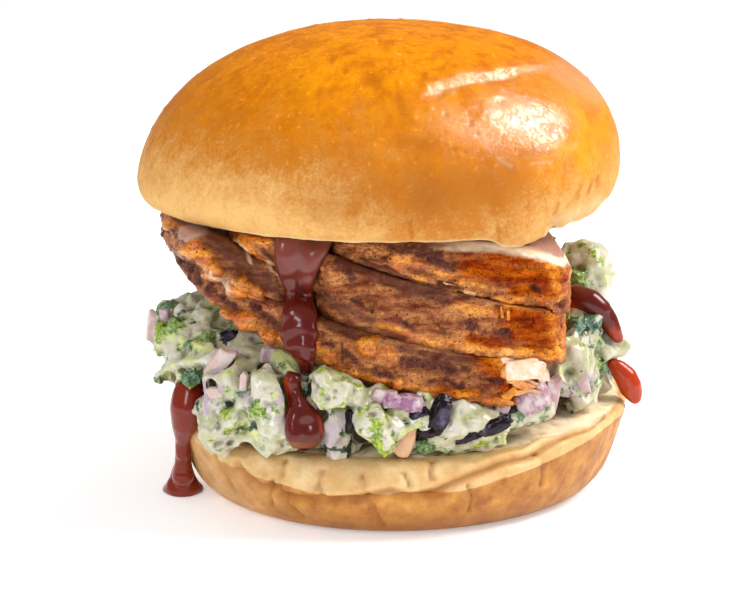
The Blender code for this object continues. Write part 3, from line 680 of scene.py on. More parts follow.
rib_trees = {}
for order, (node, measures) in enumerate(RIB_SLICES.items()):
    which, right = node.removeprefix("rib_slice_"), measures[3]
    mesh, share, inset = slice_shape(node, *measures)
    points, normals = points_of(mesh), normals_of(mesh)
    seed = 100 * (order + 1)
    seen = in_view(points)
    upright = np.sqrt(np.clip(1 - normals[:, 2] ** 2, 0, 1))
    at_rim = step_up(inset, 9, 0.5)
    forward = step_up(-points[:, 1], 18, 30)
    in_front = forward * (0.25 + 0.75 * upright)
    in_front = np.maximum(in_front, step_up(normals @ to_camera, 0.05, 0.3) * (points[:, 1] < 5))
    elsewhere = 1 - in_front
    right_end = step_up(points[:, 0], right - 3.5, right - 0.5) * upright

    crust = strokes(seen, *PEPPER_CRUST.get(which, ())) * in_front
    ragged = 0.75 + 0.75 * rough(points, 2.6, seed + 31) + 0.3 * rough(points, 0.9, seed + 33, 1)
    crust = step_up(crust * ragged, 0.3, 0.75)
    crust = np.maximum(crust, elsewhere * 0.9 * step_up(rough(points, 6, seed + 30), 0.1, 0.5))
    fat, orange, lean, brown = (
        np.clip(strength * strokes(seen, *drawn.get(which, ())), 0, 1) * shown
        for strength, drawn, shown in ((1.3, AMBER_FAT, in_front), (1.2, DEEP_ORANGE, in_front),
                                       (1.6, CUT_MEAT, forward), (1.3, BROWN_GLAZE, in_front)))
    fat_bands = step_up(rough(points, (12, 12, 4), seed + 41), 0.15, 0.5)
    fat = np.maximum(fat, elsewhere * fat_bands)
    fat = np.maximum(fat, right_end * step_up(rough(points, 3.5, seed + 43), -0.5, 0.1))
    orange = np.maximum(orange, right_end)
    if which == "top":
        cap = step_up(share + 0.03 * rough(points, 4, seed + 52), 0.86, 0.89)
        lean = np.maximum(lean, cap * step_up(points[:, 0], 10, 19))
    if which == "bottom":
        torn_end = step_up(share + 0.3 * swells(points, 4, seed + 51), 0.5, 0.7)
        lean = np.maximum(lean, right_end * torn_end)
    membrane = strokes(seen, *MEMBRANE) * in_front
    knobs, rings = np.zeros(len(points)), np.zeros(len(points))
    for pixel, radius, proud in FAT_KNOBS:
        uneven = 3 * rough(points, 3.4, seed + 70)[:, None]
        gap = np.linalg.norm(seen[:, :2] - pixel + uneven, axis=1) / radius
        gap = gap * (1 + 0.25 * rough(points, 1.5, seed + 72))
        dome = np.sqrt(np.clip(1 - gap**2, 0, 1))
        knobs = np.maximum(knobs, 1.35 * proud * dome * in_front)
        rings = np.maximum(rings, 0.5 * near(gap - 1.15, 0.2) * in_front)
    knobs = knobs * (order < 2) * (upright > 0.2)
    fat = np.maximum(fat, np.clip(1.5 * knobs, 0, 1))
    crust = crust * (1 - 0.8 * np.clip(fat, 0, 1)) * (1 - lean) * (1 - 0.7 * brown)

    nodule_gap, nodule_number = scattered(points, (2.3, 2.3, 1.9), seed + 20)
    nodules = 0.8 * (near(nodule_gap, 0.5) - 0.35) * (0.3 + nodule_number)
    tears = rough(points, (4.6, 4.6, 2.6), seed + 12)
    ledges = -0.6 * near(tears, 0.12) + 0.25 * tears
    lumps = 0.9 * rough(points, 9, seed, 2) + 0.5 * rough(points, 3.2, seed + 5)
    grain_relief = 0.45 * rough(points, 1.3, seed + 9)
    smoothness = 1 - 0.6 * np.clip(fat + lean, 0, 1) - 0.3 * brown
    shift = upright * (lumps + smoothness * (ledges + nodules + grain_relief * (1 + 1.5 * crust)))
    shift += (1 - upright) * at_rim * 0.22 * rough(points, 3, seed + 3)
    shift += upright * (knobs + 0.2 * fat + 0.35 * membrane - 0.4 * brown)
    shift = shift * (1 - 0.6 * right_end) + right_end * 0.3 * rough(points, 2.2, seed + 50)
    # the flat faces swell to meet, and more so where the upper two slices lie on others
    resting = (normals[:, 2] < -0.7) * step_up(points[:, 0], 6, 18) * (order > 2)
    shift += np.where(upright > 0.5, -0.3, 0.12 + 0.4 * resting)
    # painted shade: the bark is darkened in its crevices and in a ring round each knob
    pits = step_up(-(0.5 * lumps + ledges + nodules), 0.2, 0.9) * upright
    pits = np.maximum(pits, rings * (1 - np.clip(knobs, 0, 1)) * (order < 2))
    # glaze gathers along the upper and lower edges, where two slices meet
    seam = np.maximum(step_up(share, 0.86, 0.99), 0.7 * step_up(share, 0.12, 0.02))
    seam = seam * step_up(right - points[:, 0], 14, 34) * (1 - np.clip(knobs, 0, 1))
    glaze = np.clip(seam * (0.6 + 0.5 * swells(points, 5, seed + 61)), 0, 1)
    glaze = np.maximum(glaze, 0.35 * step_up(rough(points, 8, seed + 60), 0.2, 0.6) * upright)
    glaze = np.maximum(glaze, 0.75 * brown)
    glaze = glaze * (1 - 0.8 * lean) * (1 - 0.55 * fat)
    move_points(mesh, points + normals * shift[:, None])
    if which == "top":
        pinkish = step_up(share, 0.985, 0.995)
    else:
        pinkish = 0.5 * step_up(rough(points, 3, seed + 71), -0.2, 0.3)
    pinkish = lean * np.maximum(pinkish, order == 1)
    for name, amounts in (("pepper", crust), ("fat", fat), ("lean", lean), ("glaze", glaze),
                          ("orange", orange), ("pit", pits), ("membrane", membrane),
                          ("pinkish", pinkish)):
        paint(mesh, name, np.clip(amounts, 0, 1))
    rib_trees[node] = tree_of(mesh)
    rib = serve(node + "_roasted", mesh, bark)
    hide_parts(node)
    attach(rib, "root")


# ==== Broccoli salad ====
# Small raw broccoli florets and cut stalks tossed in thick mayonnaise dressing. The dressing
# bridges the tight green buds, so that they show as green flecks and pits in a lumpy cream.

def plain(node):
    """A copy of the packed sandwich's plain piece, in millimetres round the crown."""
    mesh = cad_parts[node].data.copy()
    move_points(mesh, points_of(mesh) / MM - CENTRED)
    return mesh


plain_salad = plain("broccoli_salad")
plain_salad_tree = tree_of(plain_salad)
SALAD_LEFT, SALAD_RIGHT, SALAD_MIDDLE = 190, 585, 375  # pixels well inside the plain salad


def at(pixel, out=0):
    """The place on the plain salad that the camera sees at a pixel, brought out towards it."""
    inner = np.array([min(max(pixel[0], SALAD_LEFT), SALAD_RIGHT), SALAD_MIDDLE])
    for share in np.linspace(0, 1, 21):
        hits = seen_on(plain_salad_tree, np.array(pixel) * (1 - share) + inner * share)
        if hits:
            break
    ray = line_of_sight(pixel)
    reach = ((hits[0] - camera_at) @ to_camera) / (ray @ to_camera)
    return camera_at + ray * reach + to_camera * out


def toward(right, up, out):
    """A direction given as the photo shows it: to the right, up, and out of the picture."""
    way = right * np.array([1, 0, 0]) + up * view_up + out * to_camera
    return way / np.linalg.norm(way)


def round_ball(subdivisions):
    """The points and the triangles of a ball of radius 1."""
    ball_maker = bmesh.new()
    bmesh.ops.create_icosphere(ball_maker, subdivisions=subdivisions, radius=1)
    points = np.array([vert.co for vert in ball_maker.verts])
    faces = np.array([[vert.index for vert in face.verts] for face in ball_maker.faces])
    ball_maker.free()
    return points, faces


# a little ball is the start of every bud, stalk and dollop
ball_points, ball_faces = round_ball(1)
dice = np.random.default_rng(7)
STALK, BUD, DRESSING = 0, 1, 2


def any_way():
    way = dice.normal(size=3)
    return way / np.linalg.norm(way)


def floret(place, facing, size, coat, dark):
    """Balls of one floret, as rows of x, y, z, radius, kind, coat and darkness."""
    side = np.cross(facing, any_way())
    side /= np.linalg.norm(side)
    third = np.cross(facing, side)
    end = [coat, dark]
    made = [[*(place + facing * size * (0.9 * share - 0.95)), size * 0.24, STALK, *end]
            for share in np.linspace(0, 1, 7)]
    heads = [(facing, dice.uniform(0.5, 0.6))]
    for i in range(7):
        turn = 2 * pi * (i + dice.uniform(-0.35, 0.35)) / 7
        lean = dice.uniform(0.7, 1.5)
        head = facing * cos(lean) + (side * cos(turn) + third * sin(turn)) * sin(lean)
        heads.append((head, dice.uniform(0.42, 0.72)))
    for head, reach in heads:
        spread = size * dice.uniform(0.24, 0.42)
        middle = place + head * reach * size
        for share in (0.3, 0.6, 0.85):
            made.append([*(place + head * reach * size * share), size * 0.14, STALK, *end])
        made.append([*middle, spread * 0.84, BUD, *end])
        for _ in range(int(3 * (spread / 0.7) ** 2)):
            way = any_way()
            if way @ head < -0.25:
                way = way - 2 * (way @ head) * head
            bud = middle + way * spread * dice.uniform(0.92, 1.1)
            made.append([*bud, dice.uniform(0.36, 0.6), BUD, *end])
    return made


def stalk(start, end, thick, coat, dark=0):
    """A cut stick of stalk, a little bent and thinner towards one end."""
    way = end - start
    bend = np.cross(way, to_camera) * dice.uniform(-0.12, 0.12)
    count = max(6, int(np.linalg.norm(way) / thick * 2.2))
    return [[*(start + way * share + bend * sin(pi * share) + 0.12 * any_way()),
             thick * (1 - 0.25 * share), STALK, coat, dark] for share in np.linspace(0, 1, count)]


# what the photo shows at each place: pixel, how far out, facing, size, dressing, darkness;
# the darkness is partly the greens' own tone and partly painted shade on florets set back in gaps
FLORETS = [
    # left cluster, up against the ribs
    ((168, 311), 0, (-0.3, 0.6, 0.7), 3.5, 0.5, 0.9), ((176, 328), 1, (-0.5, 0.1, 0.9), 2.9, 0.25, 0.45),
    ((162, 331), 0.4, (-0.9, 0.1, 0.5), 2.2, 0.1, 0.1), ((165, 345), 1, (-0.9, 0.1, 0.5), 3.2, 0.5, 0.15),
    ((193, 344), 2, (-0.3, -0.2, 1), 1.9, 0.45, 0.8), ((189, 378), 0.6, (-0.2, -0.8, 0.8), 2.4, 0.3, 0.9),
    ((160, 378), 0.6, (-0.8, -0.6, 0.5), 1.9, 0.5, 0.7), ((208, 338), 1.8, (0.3, -0.4, 1), 2.6, 0.3, 0.6),
    ((177, 357), 0.8, (-0.6, 0, 0.9), 3, 0.8, 0.3), ((203, 318), 0.6, (0, 0.2, 1), 2.6, 0.65, 0.4),
    ((214, 320), -2, (0.1, 0.2, 0.9), 3.6, 0.7, 1), ((232, 332), -2.6, (0.1, 0.3, 0.9), 4, 0.7, 1),
    ((189, 336), -1.4, (-0.2, 0.1, 1), 3.4, 0.7, 1), ((224, 345), -2, (0, 0.2, 0.9), 4, 0.7, 1),
    # front left block, thick with dressing
    ((224, 380), 1.4, (-0.2, 0.1, 1), 2.4, 0.75, 0.1), ((262, 388), 0.6, (0.2, 0.3, 1), 4.3, 0.9, 0.5),
    ((236, 418), 1.4, (-0.2, -0.2, 1), 3.6, 0.5, 0.15), ((259, 414), 1.6, (0.2, -0.1, 1), 3, 0.2, 0.35),
    ((209, 428), 1.8, (-0.4, -0.3, 1), 3.4, 0.85, 0.1), ((196, 431), 1.8, (-0.9, -0.2, 0.6), 1.9, 0.45, 0),
    ((210, 441), 2, (0, -0.8, 0.8), 1.5, 0.35, 0), ((272, 424), 1.2, (0.4, -0.2, 0.9), 4.2, 0.92, 0.2),
    ((246, 400), 0.8, (0, 0.1, 1), 2.6, 0.7, 0.9), ((245, 345), 0.4, (0, 0.5, 0.9), 3.2, 0.93, 0.6),
    ((215, 405), 0.4, (-0.5, 0.1, 0.9), 3, 0.8, 0.3),
    # the round one and its neighbours
    ((331, 389), 2, (-0.1, 0.2, 1), 5.2, 0.72, 0.15), ((352, 393), 1, (0.6, 0.2, 0.8), 3.6, 0.65, 0.2),
    ((372, 397), -0.4, (0.1, 0.3, 1), 3, 0.9, 0.4), ((374, 425), 1.8, (-0.2, 0.1, 1), 4.4, 0.6, 0.15),
    ((385, 443), 1.8, (0.1, -0.6, 0.9), 3.2, 0.35, 0.1), ((364, 410), 1, (-0.3, 0.4, 0.9), 2.6, 0.7, 0.2),
    ((425, 446), 0.6, (0.1, -0.5, 0.9), 2.4, 0.15, 0.7), ((425, 420), -0.4, (0.1, 0.1, 1), 3.2, 0.8, 0.9),
    ((466, 412), 0.8, (0.3, 0.3, 0.9), 3.4, 0.7, 0.3), ((480, 424), 1, (0.4, -0.2, 0.9), 2.8, 0.85, 0.2),
    ((460, 430), 0.2, (0, -0.4, 0.9), 2.8, 0.8, 0.3), ((545, 366), -0.4, (0.3, 0.2, 0.9), 3.4, 0.98, 0.3),
    # right side
    ((588, 258), -1, (0.3, 0.5, 0.8), 5.4, 0.88, 0.25), ((566, 262), -1.5, (-0.1, 0.6, 0.8), 3.4, 0.6, 0.2),
    ((577, 279), 1, (-0.1, -0.3, 0.9), 2.8, 0.05, 0.45),
    ((604, 272), -1.5, (0.8, 0.1, 0.6), 3.4, 0.8, 0.25), ((575, 326), 1.6, (-0.1, 0.3, 1), 3, 0.4, 1),
    ((590, 322), 1, (0.3, 0.4, 0.9), 3, 0.35, 1), ((597, 341), 1.4, (0.5, -0.2, 0.8), 1.9, 0.3, 0.7),
    ((572, 352), 1.8, (0.1, 0.1, 1), 4.4, 0.95, 0.3), ((585, 356), 2.4, (0.3, -0.1, 1), 2.8, 0.7, 0.2),
    ((600, 370), 1.8, (0.4, -0.4, 0.9), 2.3, 0.15, 0.8),
    ((560, 385), 1.2, (-0.1, -0.3, 0.9), 3.6, 0.96, 0.8), ((587, 338), -2, (0.1, 0, 0.9), 3.4, 0.9, 0.8),
    ((604, 350), 0.6, (0.6, 0.1, 0.8), 3, 0.95, 0.2),
]
rows = [row for pixel, out, facing, size, coat, dark in FLORETS
        for row in floret(at(pixel, out - 0.3 * size), toward(*facing), size, coat, dark)]

STALKS = [
    # from pixel, to pixel, how far out, half thickness, dressing, darkness
    ((191, 297), (198, 334), 1.2, 1.25, 0.55, 0.1), ((200, 306), (207, 330), 1.4, 1, 0.7, 0.2),
    ((216, 350), (163, 351), 1.8, 0.85, 0.75, 0), ((214, 360), (157, 375), 2.2, 1.15, 0.7, 0),
    ((212, 352), (170, 338), 1.6, 0.7, 0.5, 0), ((212, 344), (196, 362), 2.4, 0.8, 0.95, 0.1),
    ((208, 376), (216, 352), 2, 0.8, 0.98, 0.1), ((239, 339), (266, 353), 1.4, 1.3, 0.96, 0.2),
    ((227, 374), (261, 359), 2.4, 1.35, 0.8, 0.15), ((246, 352), (236, 362), 1.2, 0.9, 0.7, 0.7),
    ((254, 373), (262, 404), 1.8, 1.1, 0.95, 0.3), ((268, 366), (275, 395), 2, 1.2, 0.9, 0.1),
    ((276, 384), (284, 410), 1.8, 1, 0.92, 0), ((203, 378), (207, 414), 2.6, 0.42, 1, 0),
    ((279, 384), (282, 424), 2.2, 0.5, 1, 0), ((278, 352), (294, 374), 1.4, 2.3, 0.35, 0.55),
    ((286, 350), (298, 362), 1.2, 1.6, 0.4, 0.5), ((240, 440), (285, 438), 1.4, 0.8, 0.95, 0.1),
    ((455, 408), (462, 430), 1.4, 1.2, 0.75, 0.1), ((560, 352), (557, 374), 1.6, 1.5, 0.97, 0.2),
    ((601, 248), (606, 282), 0.2, 1.5, 0.55, 0), ((585, 245), (598, 262), 1.4, 1.9, 0.7, 0.1),
    ((611, 336), (627, 346), 1, 2, 1, 0), ((604, 352), (623, 354), 1, 1.4, 1, 0),
]
for start, end, out, thick, coat, dark in STALKS:
    rows += stalk(at(start, out), at(end, out), thick, coat, dark)
# a grey-lilac knob of dressed stalk, and the cream lumps: pixel, how far out, size
KNOBS = [((334, 428), 2.2, 2.9), ((331, 441), 1.8, 1.9), ((345, 419), 0.8, 1.7), ((206, 436), 2, 1.8),
         ((219, 434), 1.2, 1.8), ((201, 420), 1.6, 1.4), ((615, 343), 1.4, 2.3), ((552, 372), 0.4, 2.2),
         ((583, 368), 1.6, 1.9), ((563, 343), 1.4, 2.2), ((377, 408), 1.4, 1.3), ((216, 364), 1, 1.8),
         ((272, 436), 1.4, 1.5), ((233, 392), 1, 2), ((355, 398), 1.6, 1.4), ((440, 442), -0.4, 1.4)]
for pixel, out, size in KNOBS:
    rows.append([*at(pixel, out - 0.5 * size), size, DRESSING, 1, 0.4])
    for _ in range(5):
        beside = at(pixel, out - 0.5 * size) + any_way() * size * 0.7
        rows.append([*beside, size * dice.uniform(0.35, 0.6), DRESSING, 1, 0.4])
# smaller bits all over the rest of the salad, round the sides and the back too
plain_salad.calc_loop_triangles()
spots = []
corners = points_of(plain_salad)
triangles = np.array([triangle.vertices for triangle in plain_salad.loop_triangles])
first, second, third = (corners[triangles[:, i]] for i in range(3))
sides = np.cross(second - first, third - first)
share_of = np.linalg.norm(sides, axis=1) / np.linalg.norm(sides, axis=1).sum()
APART = 3.9
for pick in dice.choice(len(triangles), 2600, p=share_of):
    a, b = sorted(dice.random(2))
    place = corners[triangles[pick]].T @ np.array([a, b - a, 1 - b])
    outward = sides[pick] / np.linalg.norm(sides[pick])
    hidden = abs(outward[2]) > 0.85 and np.hypot(place[0] - 4, place[1]) < 40
    if not hidden and all(np.linalg.norm(place - other) > APART for other, _ in spots):
        spots.append((place, outward))


def within(points, x, y, width, height):
    """Which points of the front half show in a part of the frame, given by its middle."""
    seen = in_view(points)
    return (np.abs(seen[:, 0] - x) < width) & (np.abs(seen[:, 1] - y) < height) & (points[:, 1] < 10)


# nothing stands in front of the onion at the lower right, or of the sauce below the left cluster
spot_places = np.array([place for place, _ in spots])
kept_clear = within(spot_places, 530, 412, 34, 20) | within(spot_places, 180, 412, 22, 30)
for (place, outward), covered in zip(spots, kept_clear):
    if covered:
        continue
    front = outward @ to_camera > 0.2 and place[1] < 10
    size = dice.uniform(1.9, 2.9) if front else dice.uniform(2.6, 5.4)
    coat, dark = dice.uniform(0.45, 1), dice.choice([0.1, 0.3, 0.6, 1])
    kind = dice.random()
    if kind < 0.62:
        rows += floret(place - outward * size * (0.95 if front else 0.45), outward, size, coat, dark)
    elif kind < 0.8:
        along = np.cross(outward, any_way())
        along *= size / np.linalg.norm(along)
        rows += stalk(place - along, place + along, size * 0.3, coat, dark)
    else:
        rows.append([*(place - outward * 0.6), size * 0.7, DRESSING, 1, dark])
# more of the salad behind the outer florets, so that no gap between them goes deep; they are dark, as
# painted shade in the gaps
PACKING = [((236, 424), 4.2), ((212, 426), 3.8), ((262, 430), 4), ((226, 398), 3.8), ((252, 398), 3.8),
           ((205, 408), 3.4), ((196, 350), 3.6), ((176, 342), 3.4), ((345, 408), 4.2), ((372, 412), 4),
           ((392, 430), 3.8), ((462, 420), 4), ((480, 414), 3.6), ((572, 340), 3.8), ((582, 366), 4.2),
           ((530, 414), 3.6), ((545, 408), 3.2), ((514, 420), 3), ((448, 432), 3.2), ((500, 424), 3)]
for pixel, size in PACKING:
    rows.append([*at(pixel, 0.7 - size), size, BUD, 0.6, 0.8])
for place, outward in spots:
    if place[1] > 0:
        rows.append([*(place - outward * 2.4), 2.7, BUD, 0.7, 0.6])
balls = np.array(rows)
# the bun's lip is bare below the onion at the lower right
balls = balls[~within(balls[:, :3], 534, 436, 14, 9)]


def fused(name, meshes, grain):
    """One closed skin round a heap of closed meshes."""
    heap = bmesh.new()
    for mesh in meshes:
        heap.from_mesh(mesh)
    whole = bpy.data.meshes.new(name)
    heap.to_mesh(whole)
    heap.free()
    lump = placed_object(name + "_heap", whole)
    skin_maker = lump.modifiers.new("fuse", "REMESH")
    skin_maker.mode = "VOXEL"
    skin_maker.voxel_size = grain
    graph = bpy.context.evaluated_depsgraph_get()
    made = bpy.data.meshes.new_from_object(lump.evaluated_get(graph))
    bpy.data.objects.remove(lump)
    made.name = name
    made.shade_smooth()
    return made


def ball_mesh(name, rows):
    points = (rows[:, None, :3] + rows[:, None, 3:4] * ball_points[None]).reshape(-1, 3)
    faces = (ball_faces[None] + np.arange(len(rows))[:, None, None] * len(ball_points)).reshape(-1, 3)
    return mesh_from(name, points, faces.tolist())


def softened(mesh, times, share=0.5):
    """Where each point gets to when it drifts towards its neighbours' middle."""
    points = points_of(mesh)
    edges = np.empty(len(mesh.edges) * 2, np.int32)
    mesh.edges.foreach_get("vertices", edges)
    first, second = edges.reshape(-1, 2).T
    count = np.maximum(np.bincount(edges, minlength=len(points)), 1)[:, None]
    for _ in range(times):
        pull = np.stack([np.bincount(first, points[second, axis], len(points))
                         + np.bincount(second, points[first, axis], len(points))
                         for axis in range(3)], axis=1) / count
        points = points + share * (pull - points)
    return points


def keep_half(mesh, side):
    """Cuts a heap at the middle so that each half stays a light, closed piece."""
    shape = bmesh.new()
    shape.from_mesh(mesh)
    cut = bmesh.ops.bisect_plane(shape, geom=[*shape.verts, *shape.edges, *shape.faces],
                                 plane_co=Vector((0, 0, 0)), plane_no=Vector((0, side, 0)),
                                 clear_inner=True)
    rim = [item for item in cut["geom_cut"] if isinstance(item, bmesh.types.BMEdge)]
    bmesh.ops.holes_fill(shape, edges=rim)
    shape.to_mesh(mesh)
    shape.free()
    return mesh


def pick_balls(side):
    """The balls of one half, swollen so that the dressing bridges the narrow gaps."""
    picked = balls[balls[:, 1] * side > -4].copy()
    picked[:, 3] += BRIDGED
    return picked


salad_core = plain_salad.copy()
move_points(salad_core, points_of(salad_core) - normals_of(salad_core) * 1.6)
BRIDGED = 0.62
SALAD_GRAINS = {"front": 0.5, "back": 0.74}
ball_finder = KDTree(len(balls))
for i, ball in enumerate(balls):
    ball_finder.insert(ball[:3], i)
ball_finder.balance()

# raw broccoli in mayonnaise: yellow-green to blue-green buds under a cream that catches the light
dressed_greens, tree = blank_material("broccoli_in_cream_dressing")
masks = {name: put(tree, "Attribute", {"attribute_name": name}).outputs["Fac"]
         for name in ("stalk", "bare", "hollow", "dark", "lilac")}
where = put(tree, "TexCoord").outputs["Object"]
fleck = put(tree, "TexNoise", {"Scale": 1300, "Detail": 3, "Roughness": 0.6}, {"Vector": where})
blotch = put(tree, "TexNoise", {"Scale": 260, "Detail": 2}, {"Vector": where})
bead = put(tree, "MapRange", {"From": (0.42, 0.58)}, {"Value": fleck})
deep = put(tree, "Math", {"operation": "MULTIPLY_ADD", "use_clamp": True, 1: 0.75, 2: 0}, {0: bead})
# the painted hollow shade darkens the buds towards their pit colours and the cream towards olive
deeper = put(tree, "Math", {"operation": "ADD", "use_clamp": True}, {0: deep, 1: masks["hollow"]})
tips, pits, stem, cream = (
    put(tree, "MixRGB", {"Color1": bright, "Color2": dull}, {"Fac": share})
    for bright, dull, share in (("#B4C436", "#6A9478", masks["dark"]),
                                ("#4E7414", "#123020", masks["dark"]),
                                ("#B8C658", "#D9DDA8", blotch), ("#D2CCBC", "#454A28", masks["hollow"])))
buds = put(tree, "MixRGB", {}, {"Fac": deeper, "Color1": tips, "Color2": pits})
greens = put(tree, "MixRGB", {}, {"Fac": masks["stalk"], "Color1": buds, "Color2": stem})
green_share = put(tree, "MapRange", {"From": (0.4, 0.6), "To": (0, 0.58)}, {"Value": blotch})
for share, tone in ((green_share, "#A6AC64"), (masks["lilac"], "#B5A3AC")):
    cream = put(tree, "MixRGB", {"Color2": tone}, {"Fac": share, "Color1": cream})
film = put(tree, "MapRange", {"From": (0.3, 0.7), "To": (-0.3, 0.3)}, {"Value": fleck})
thin = put(tree, "Math", {"operation": "ADD", "use_clamp": True}, {0: masks["bare"], 1: film})
open_share = put(tree, "MapRange", {"From": (0.1, 0.75)}, {"Value": thin})
coated = put(tree, "MixRGB", {}, {"Fac": open_share, "Color1": cream, "Color2": greens})
ripple = put(tree, "Bump", {"Strength": 0.6, "Distance": 0.0004}, {"Height": fleck})
skin = put(tree, "BsdfPrincipled",
           {"Roughness": 0.4, "IOR": 1.45, "Specular IOR Level": 0.3, "Coat Weight": 0.8,
            "Coat Roughness": 0.12}, {"Base Color": coated, "Normal": ripple})
put(tree, "OutputMaterial", links={"Surface": skin})

salad_trees = {}
for half, side in (("front", -1), ("back", 1)):
    heap = [salad_core, ball_mesh("balls", pick_balls(side))]
    heap_mesh = fused("broccoli_" + half, heap, SALAD_GRAINS[half])
    move_points(heap_mesh, points_of(heap_mesh) - normals_of(heap_mesh) * BRIDGED)
    half_mesh = keep_half(heap_mesh, side)
    sharp_points = points_of(half_mesh)
    round_points = softened(half_mesh, 12)
    normals = normals_of(half_mesh)
    bulge = np.einsum("ij,ij->i", sharp_points - round_points, normals)
    # the ball whose face is closest, of the three with the closest middles
    nearest = np.empty(len(sharp_points), np.int64)
    gaps = np.empty(len(sharp_points))
    for i, point in enumerate(sharp_points):
        close = ball_finder.find_n(point, 3)
        gaps[i], nearest[i] = min((hit[2] - balls[hit[1], 3], hit[1]) for hit in close)
    kinds, coats, darks = balls[nearest, 4], balls[nearest, 5], balls[nearest, 6]
    # the dressing tears open over the buds, in small ragged holes where it is thick
    holes = rough(sharp_points, 2.3, 700) + 0.35 * rough(sharp_points, 0.9, 704)
    torn = 1.2 * (coats - 0.77)
    bare = step_up(holes + 0.7 * np.clip(bulge, -0.4, 0.4), torn, torn + 0.55)
    bare = bare * np.where(kinds == DRESSING, 0.3, 1)
    # the core shows only deep in the gaps, and is painted bare, dark and hollow there: painted shade
    buried = gaps > 0.9
    # painted shade in the hollows between the buds
    hollow = step_up(-bulge, 0.05, 0.5)
    veil = ((1 - bare) * 0.8 + 0.1)[:, None]
    move_points(half_mesh, sharp_points * (1 - veil) + round_points * veil)
    normals = normals_of(half_mesh)
    lumps = 0.25 * rough(sharp_points, 2.6, 710) + 0.15 * rough(sharp_points, 1.2, 714)
    lumps = (lumps * (1 - bare) - 0.2 * bare) * (np.abs(sharp_points[:, 1]) > 0.6)
    move_points(half_mesh, points_of(half_mesh) + normals * lumps[:, None])
    seen = in_view(sharp_points)
    lilac = strokes(seen, (13, (334, 430), (333, 440)), (6, (345, 418), (348, 424)),
                    (5, (208, 398), (222, 388)), (5, (243, 378), (244, 398)),
                    (3.5, (203, 380), (206, 412)), (4, (280, 390), (283, 420)),
                    (6, (212, 372), (232, 352)), (7, (553, 388), (568, 395)),
                    (7, (575, 392), (590, 380)))
    paint(half_mesh, "stalk", (kinds == STALK) * 1)
    paint(half_mesh, "bare", np.maximum(bare, buried))
    paint(half_mesh, "hollow", np.maximum(hollow, buried))
    paint(half_mesh, "dark", np.maximum(darks, buried))
    paint(half_mesh, "lilac", np.clip(lilac * (sharp_points[:, 1] < 0), 0, 1))
    salad_trees[half] = tree_of(half_mesh)
    greens_piece = serve("broccoli_" + half, half_mesh, dressed_greens)
    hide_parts("broccoli_salad")
    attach(greens_piece, "root")


# ==== Red onion, raisins and almonds in the salad ====
# Diced red onion, soaked in the dressing to a glossy lilac; wrinkled dark raisins; and slivered
# blanched almonds. They sit in the salad's outer face, half in the dressing.

def chunk(length, height, depth, seed, tapered=0, rounded=0):
    """A diced piece with soft edges: a cube pushed out of square, slimmer at one end if tapered."""
    shape = bmesh.new()
    bmesh.ops.create_cube(shape, size=1)
    bmesh.ops.subdivide_edges(shape, edges=shape.edges[:], cuts=9, use_grid_fill=True)
    points = np.array([vert.co for vert in shape.verts])
    faces = [[vert.index for vert in face.verts] for face in shape.faces]
    shape.free()
    ball = points / np.maximum(np.linalg.norm(points, axis=1, keepdims=True), 1e-6) * 0.5
    points = points * (0.7 - 0.5 * rounded) + ball * (0.42 + 0.5 * rounded)
    slim = 1 - tapered * (points[:, 0] + 0.5)
    points = points * np.column_stack([np.ones(len(points)), slim, slim]) * [length, depth, height]
    points[:, 2] += 0.14 * height * np.sin(points[:, 0] / length * 3 + seed)
    uneven = np.column_stack([rough(points, 2.2, int(seed * 7) + axis) for axis in range(3)])
    return points + 0.2 * uneven, faces


def wrinkled(points, seed):
    """Pulls a chunk's skin in along crossing creases."""
    fine = np.abs(swells(points, (1.5, 1.5, 1.1), 300 + seed))
    folds = np.minimum(fine, np.abs(swells(points, (2.1, 2.1, 0.9), 340 + seed)))
    return points * (1 - 0.2 * near(folds, 0.22))[:, None]


def spun(points, turn, turn_axis, roll, roll_axis):
    """Points rolled about one axis, then turned about another, in radians."""
    spin = Matrix.Rotation(turn, 3, turn_axis) @ Matrix.Rotation(roll, 3, roll_axis)
    return points @ np.array(spin).T


def set_in_view(points, pixel, out, turn, nod=0):
    """Lays a chunk on what shows at a pixel: turned clockwise in the photo, then nodded."""
    place = (seen_on(salad_trees["front"], pixel) or [at(pixel)])[0]
    return spun(points, radians(turn), "Y", radians(nod), "Z") + place + to_camera * out


OUTSIDE = 80


def set_round_the_back(points, degrees, height, roll):
    """Lays a chunk on the salad's back, where a level ray from outside meets it."""
    angle = radians(degrees)
    across, deep = cos(angle), sin(angle)
    start = Vector((OUTSIDE * across, OUTSIDE * deep, height))
    hit = salad_trees["back"].ray_cast(start, Vector((-across, -deep, 0)))[0]
    if hit is None:  # the ray passed over the heap
        hit = Vector((46 * across, 44 * deep, height))
    return spun(points, angle + pi / 2, "Z", roll, "Y") + np.array(hit)


def gather(name, parts):
    """One mesh of many small solids, with a shade for each."""
    points, faces, shades, count = [], [], [], 0
    for part_points, part_faces, shade in parts:
        points.append(part_points)
        faces += [[corner + count for corner in face] for face in part_faces]
        shades.append(np.full(len(part_points), shade))
        count += len(part_points)
    mesh = mesh_from(name, np.concatenate(points), faces)
    paint(mesh, "shade", np.concatenate(shades))
    return mesh


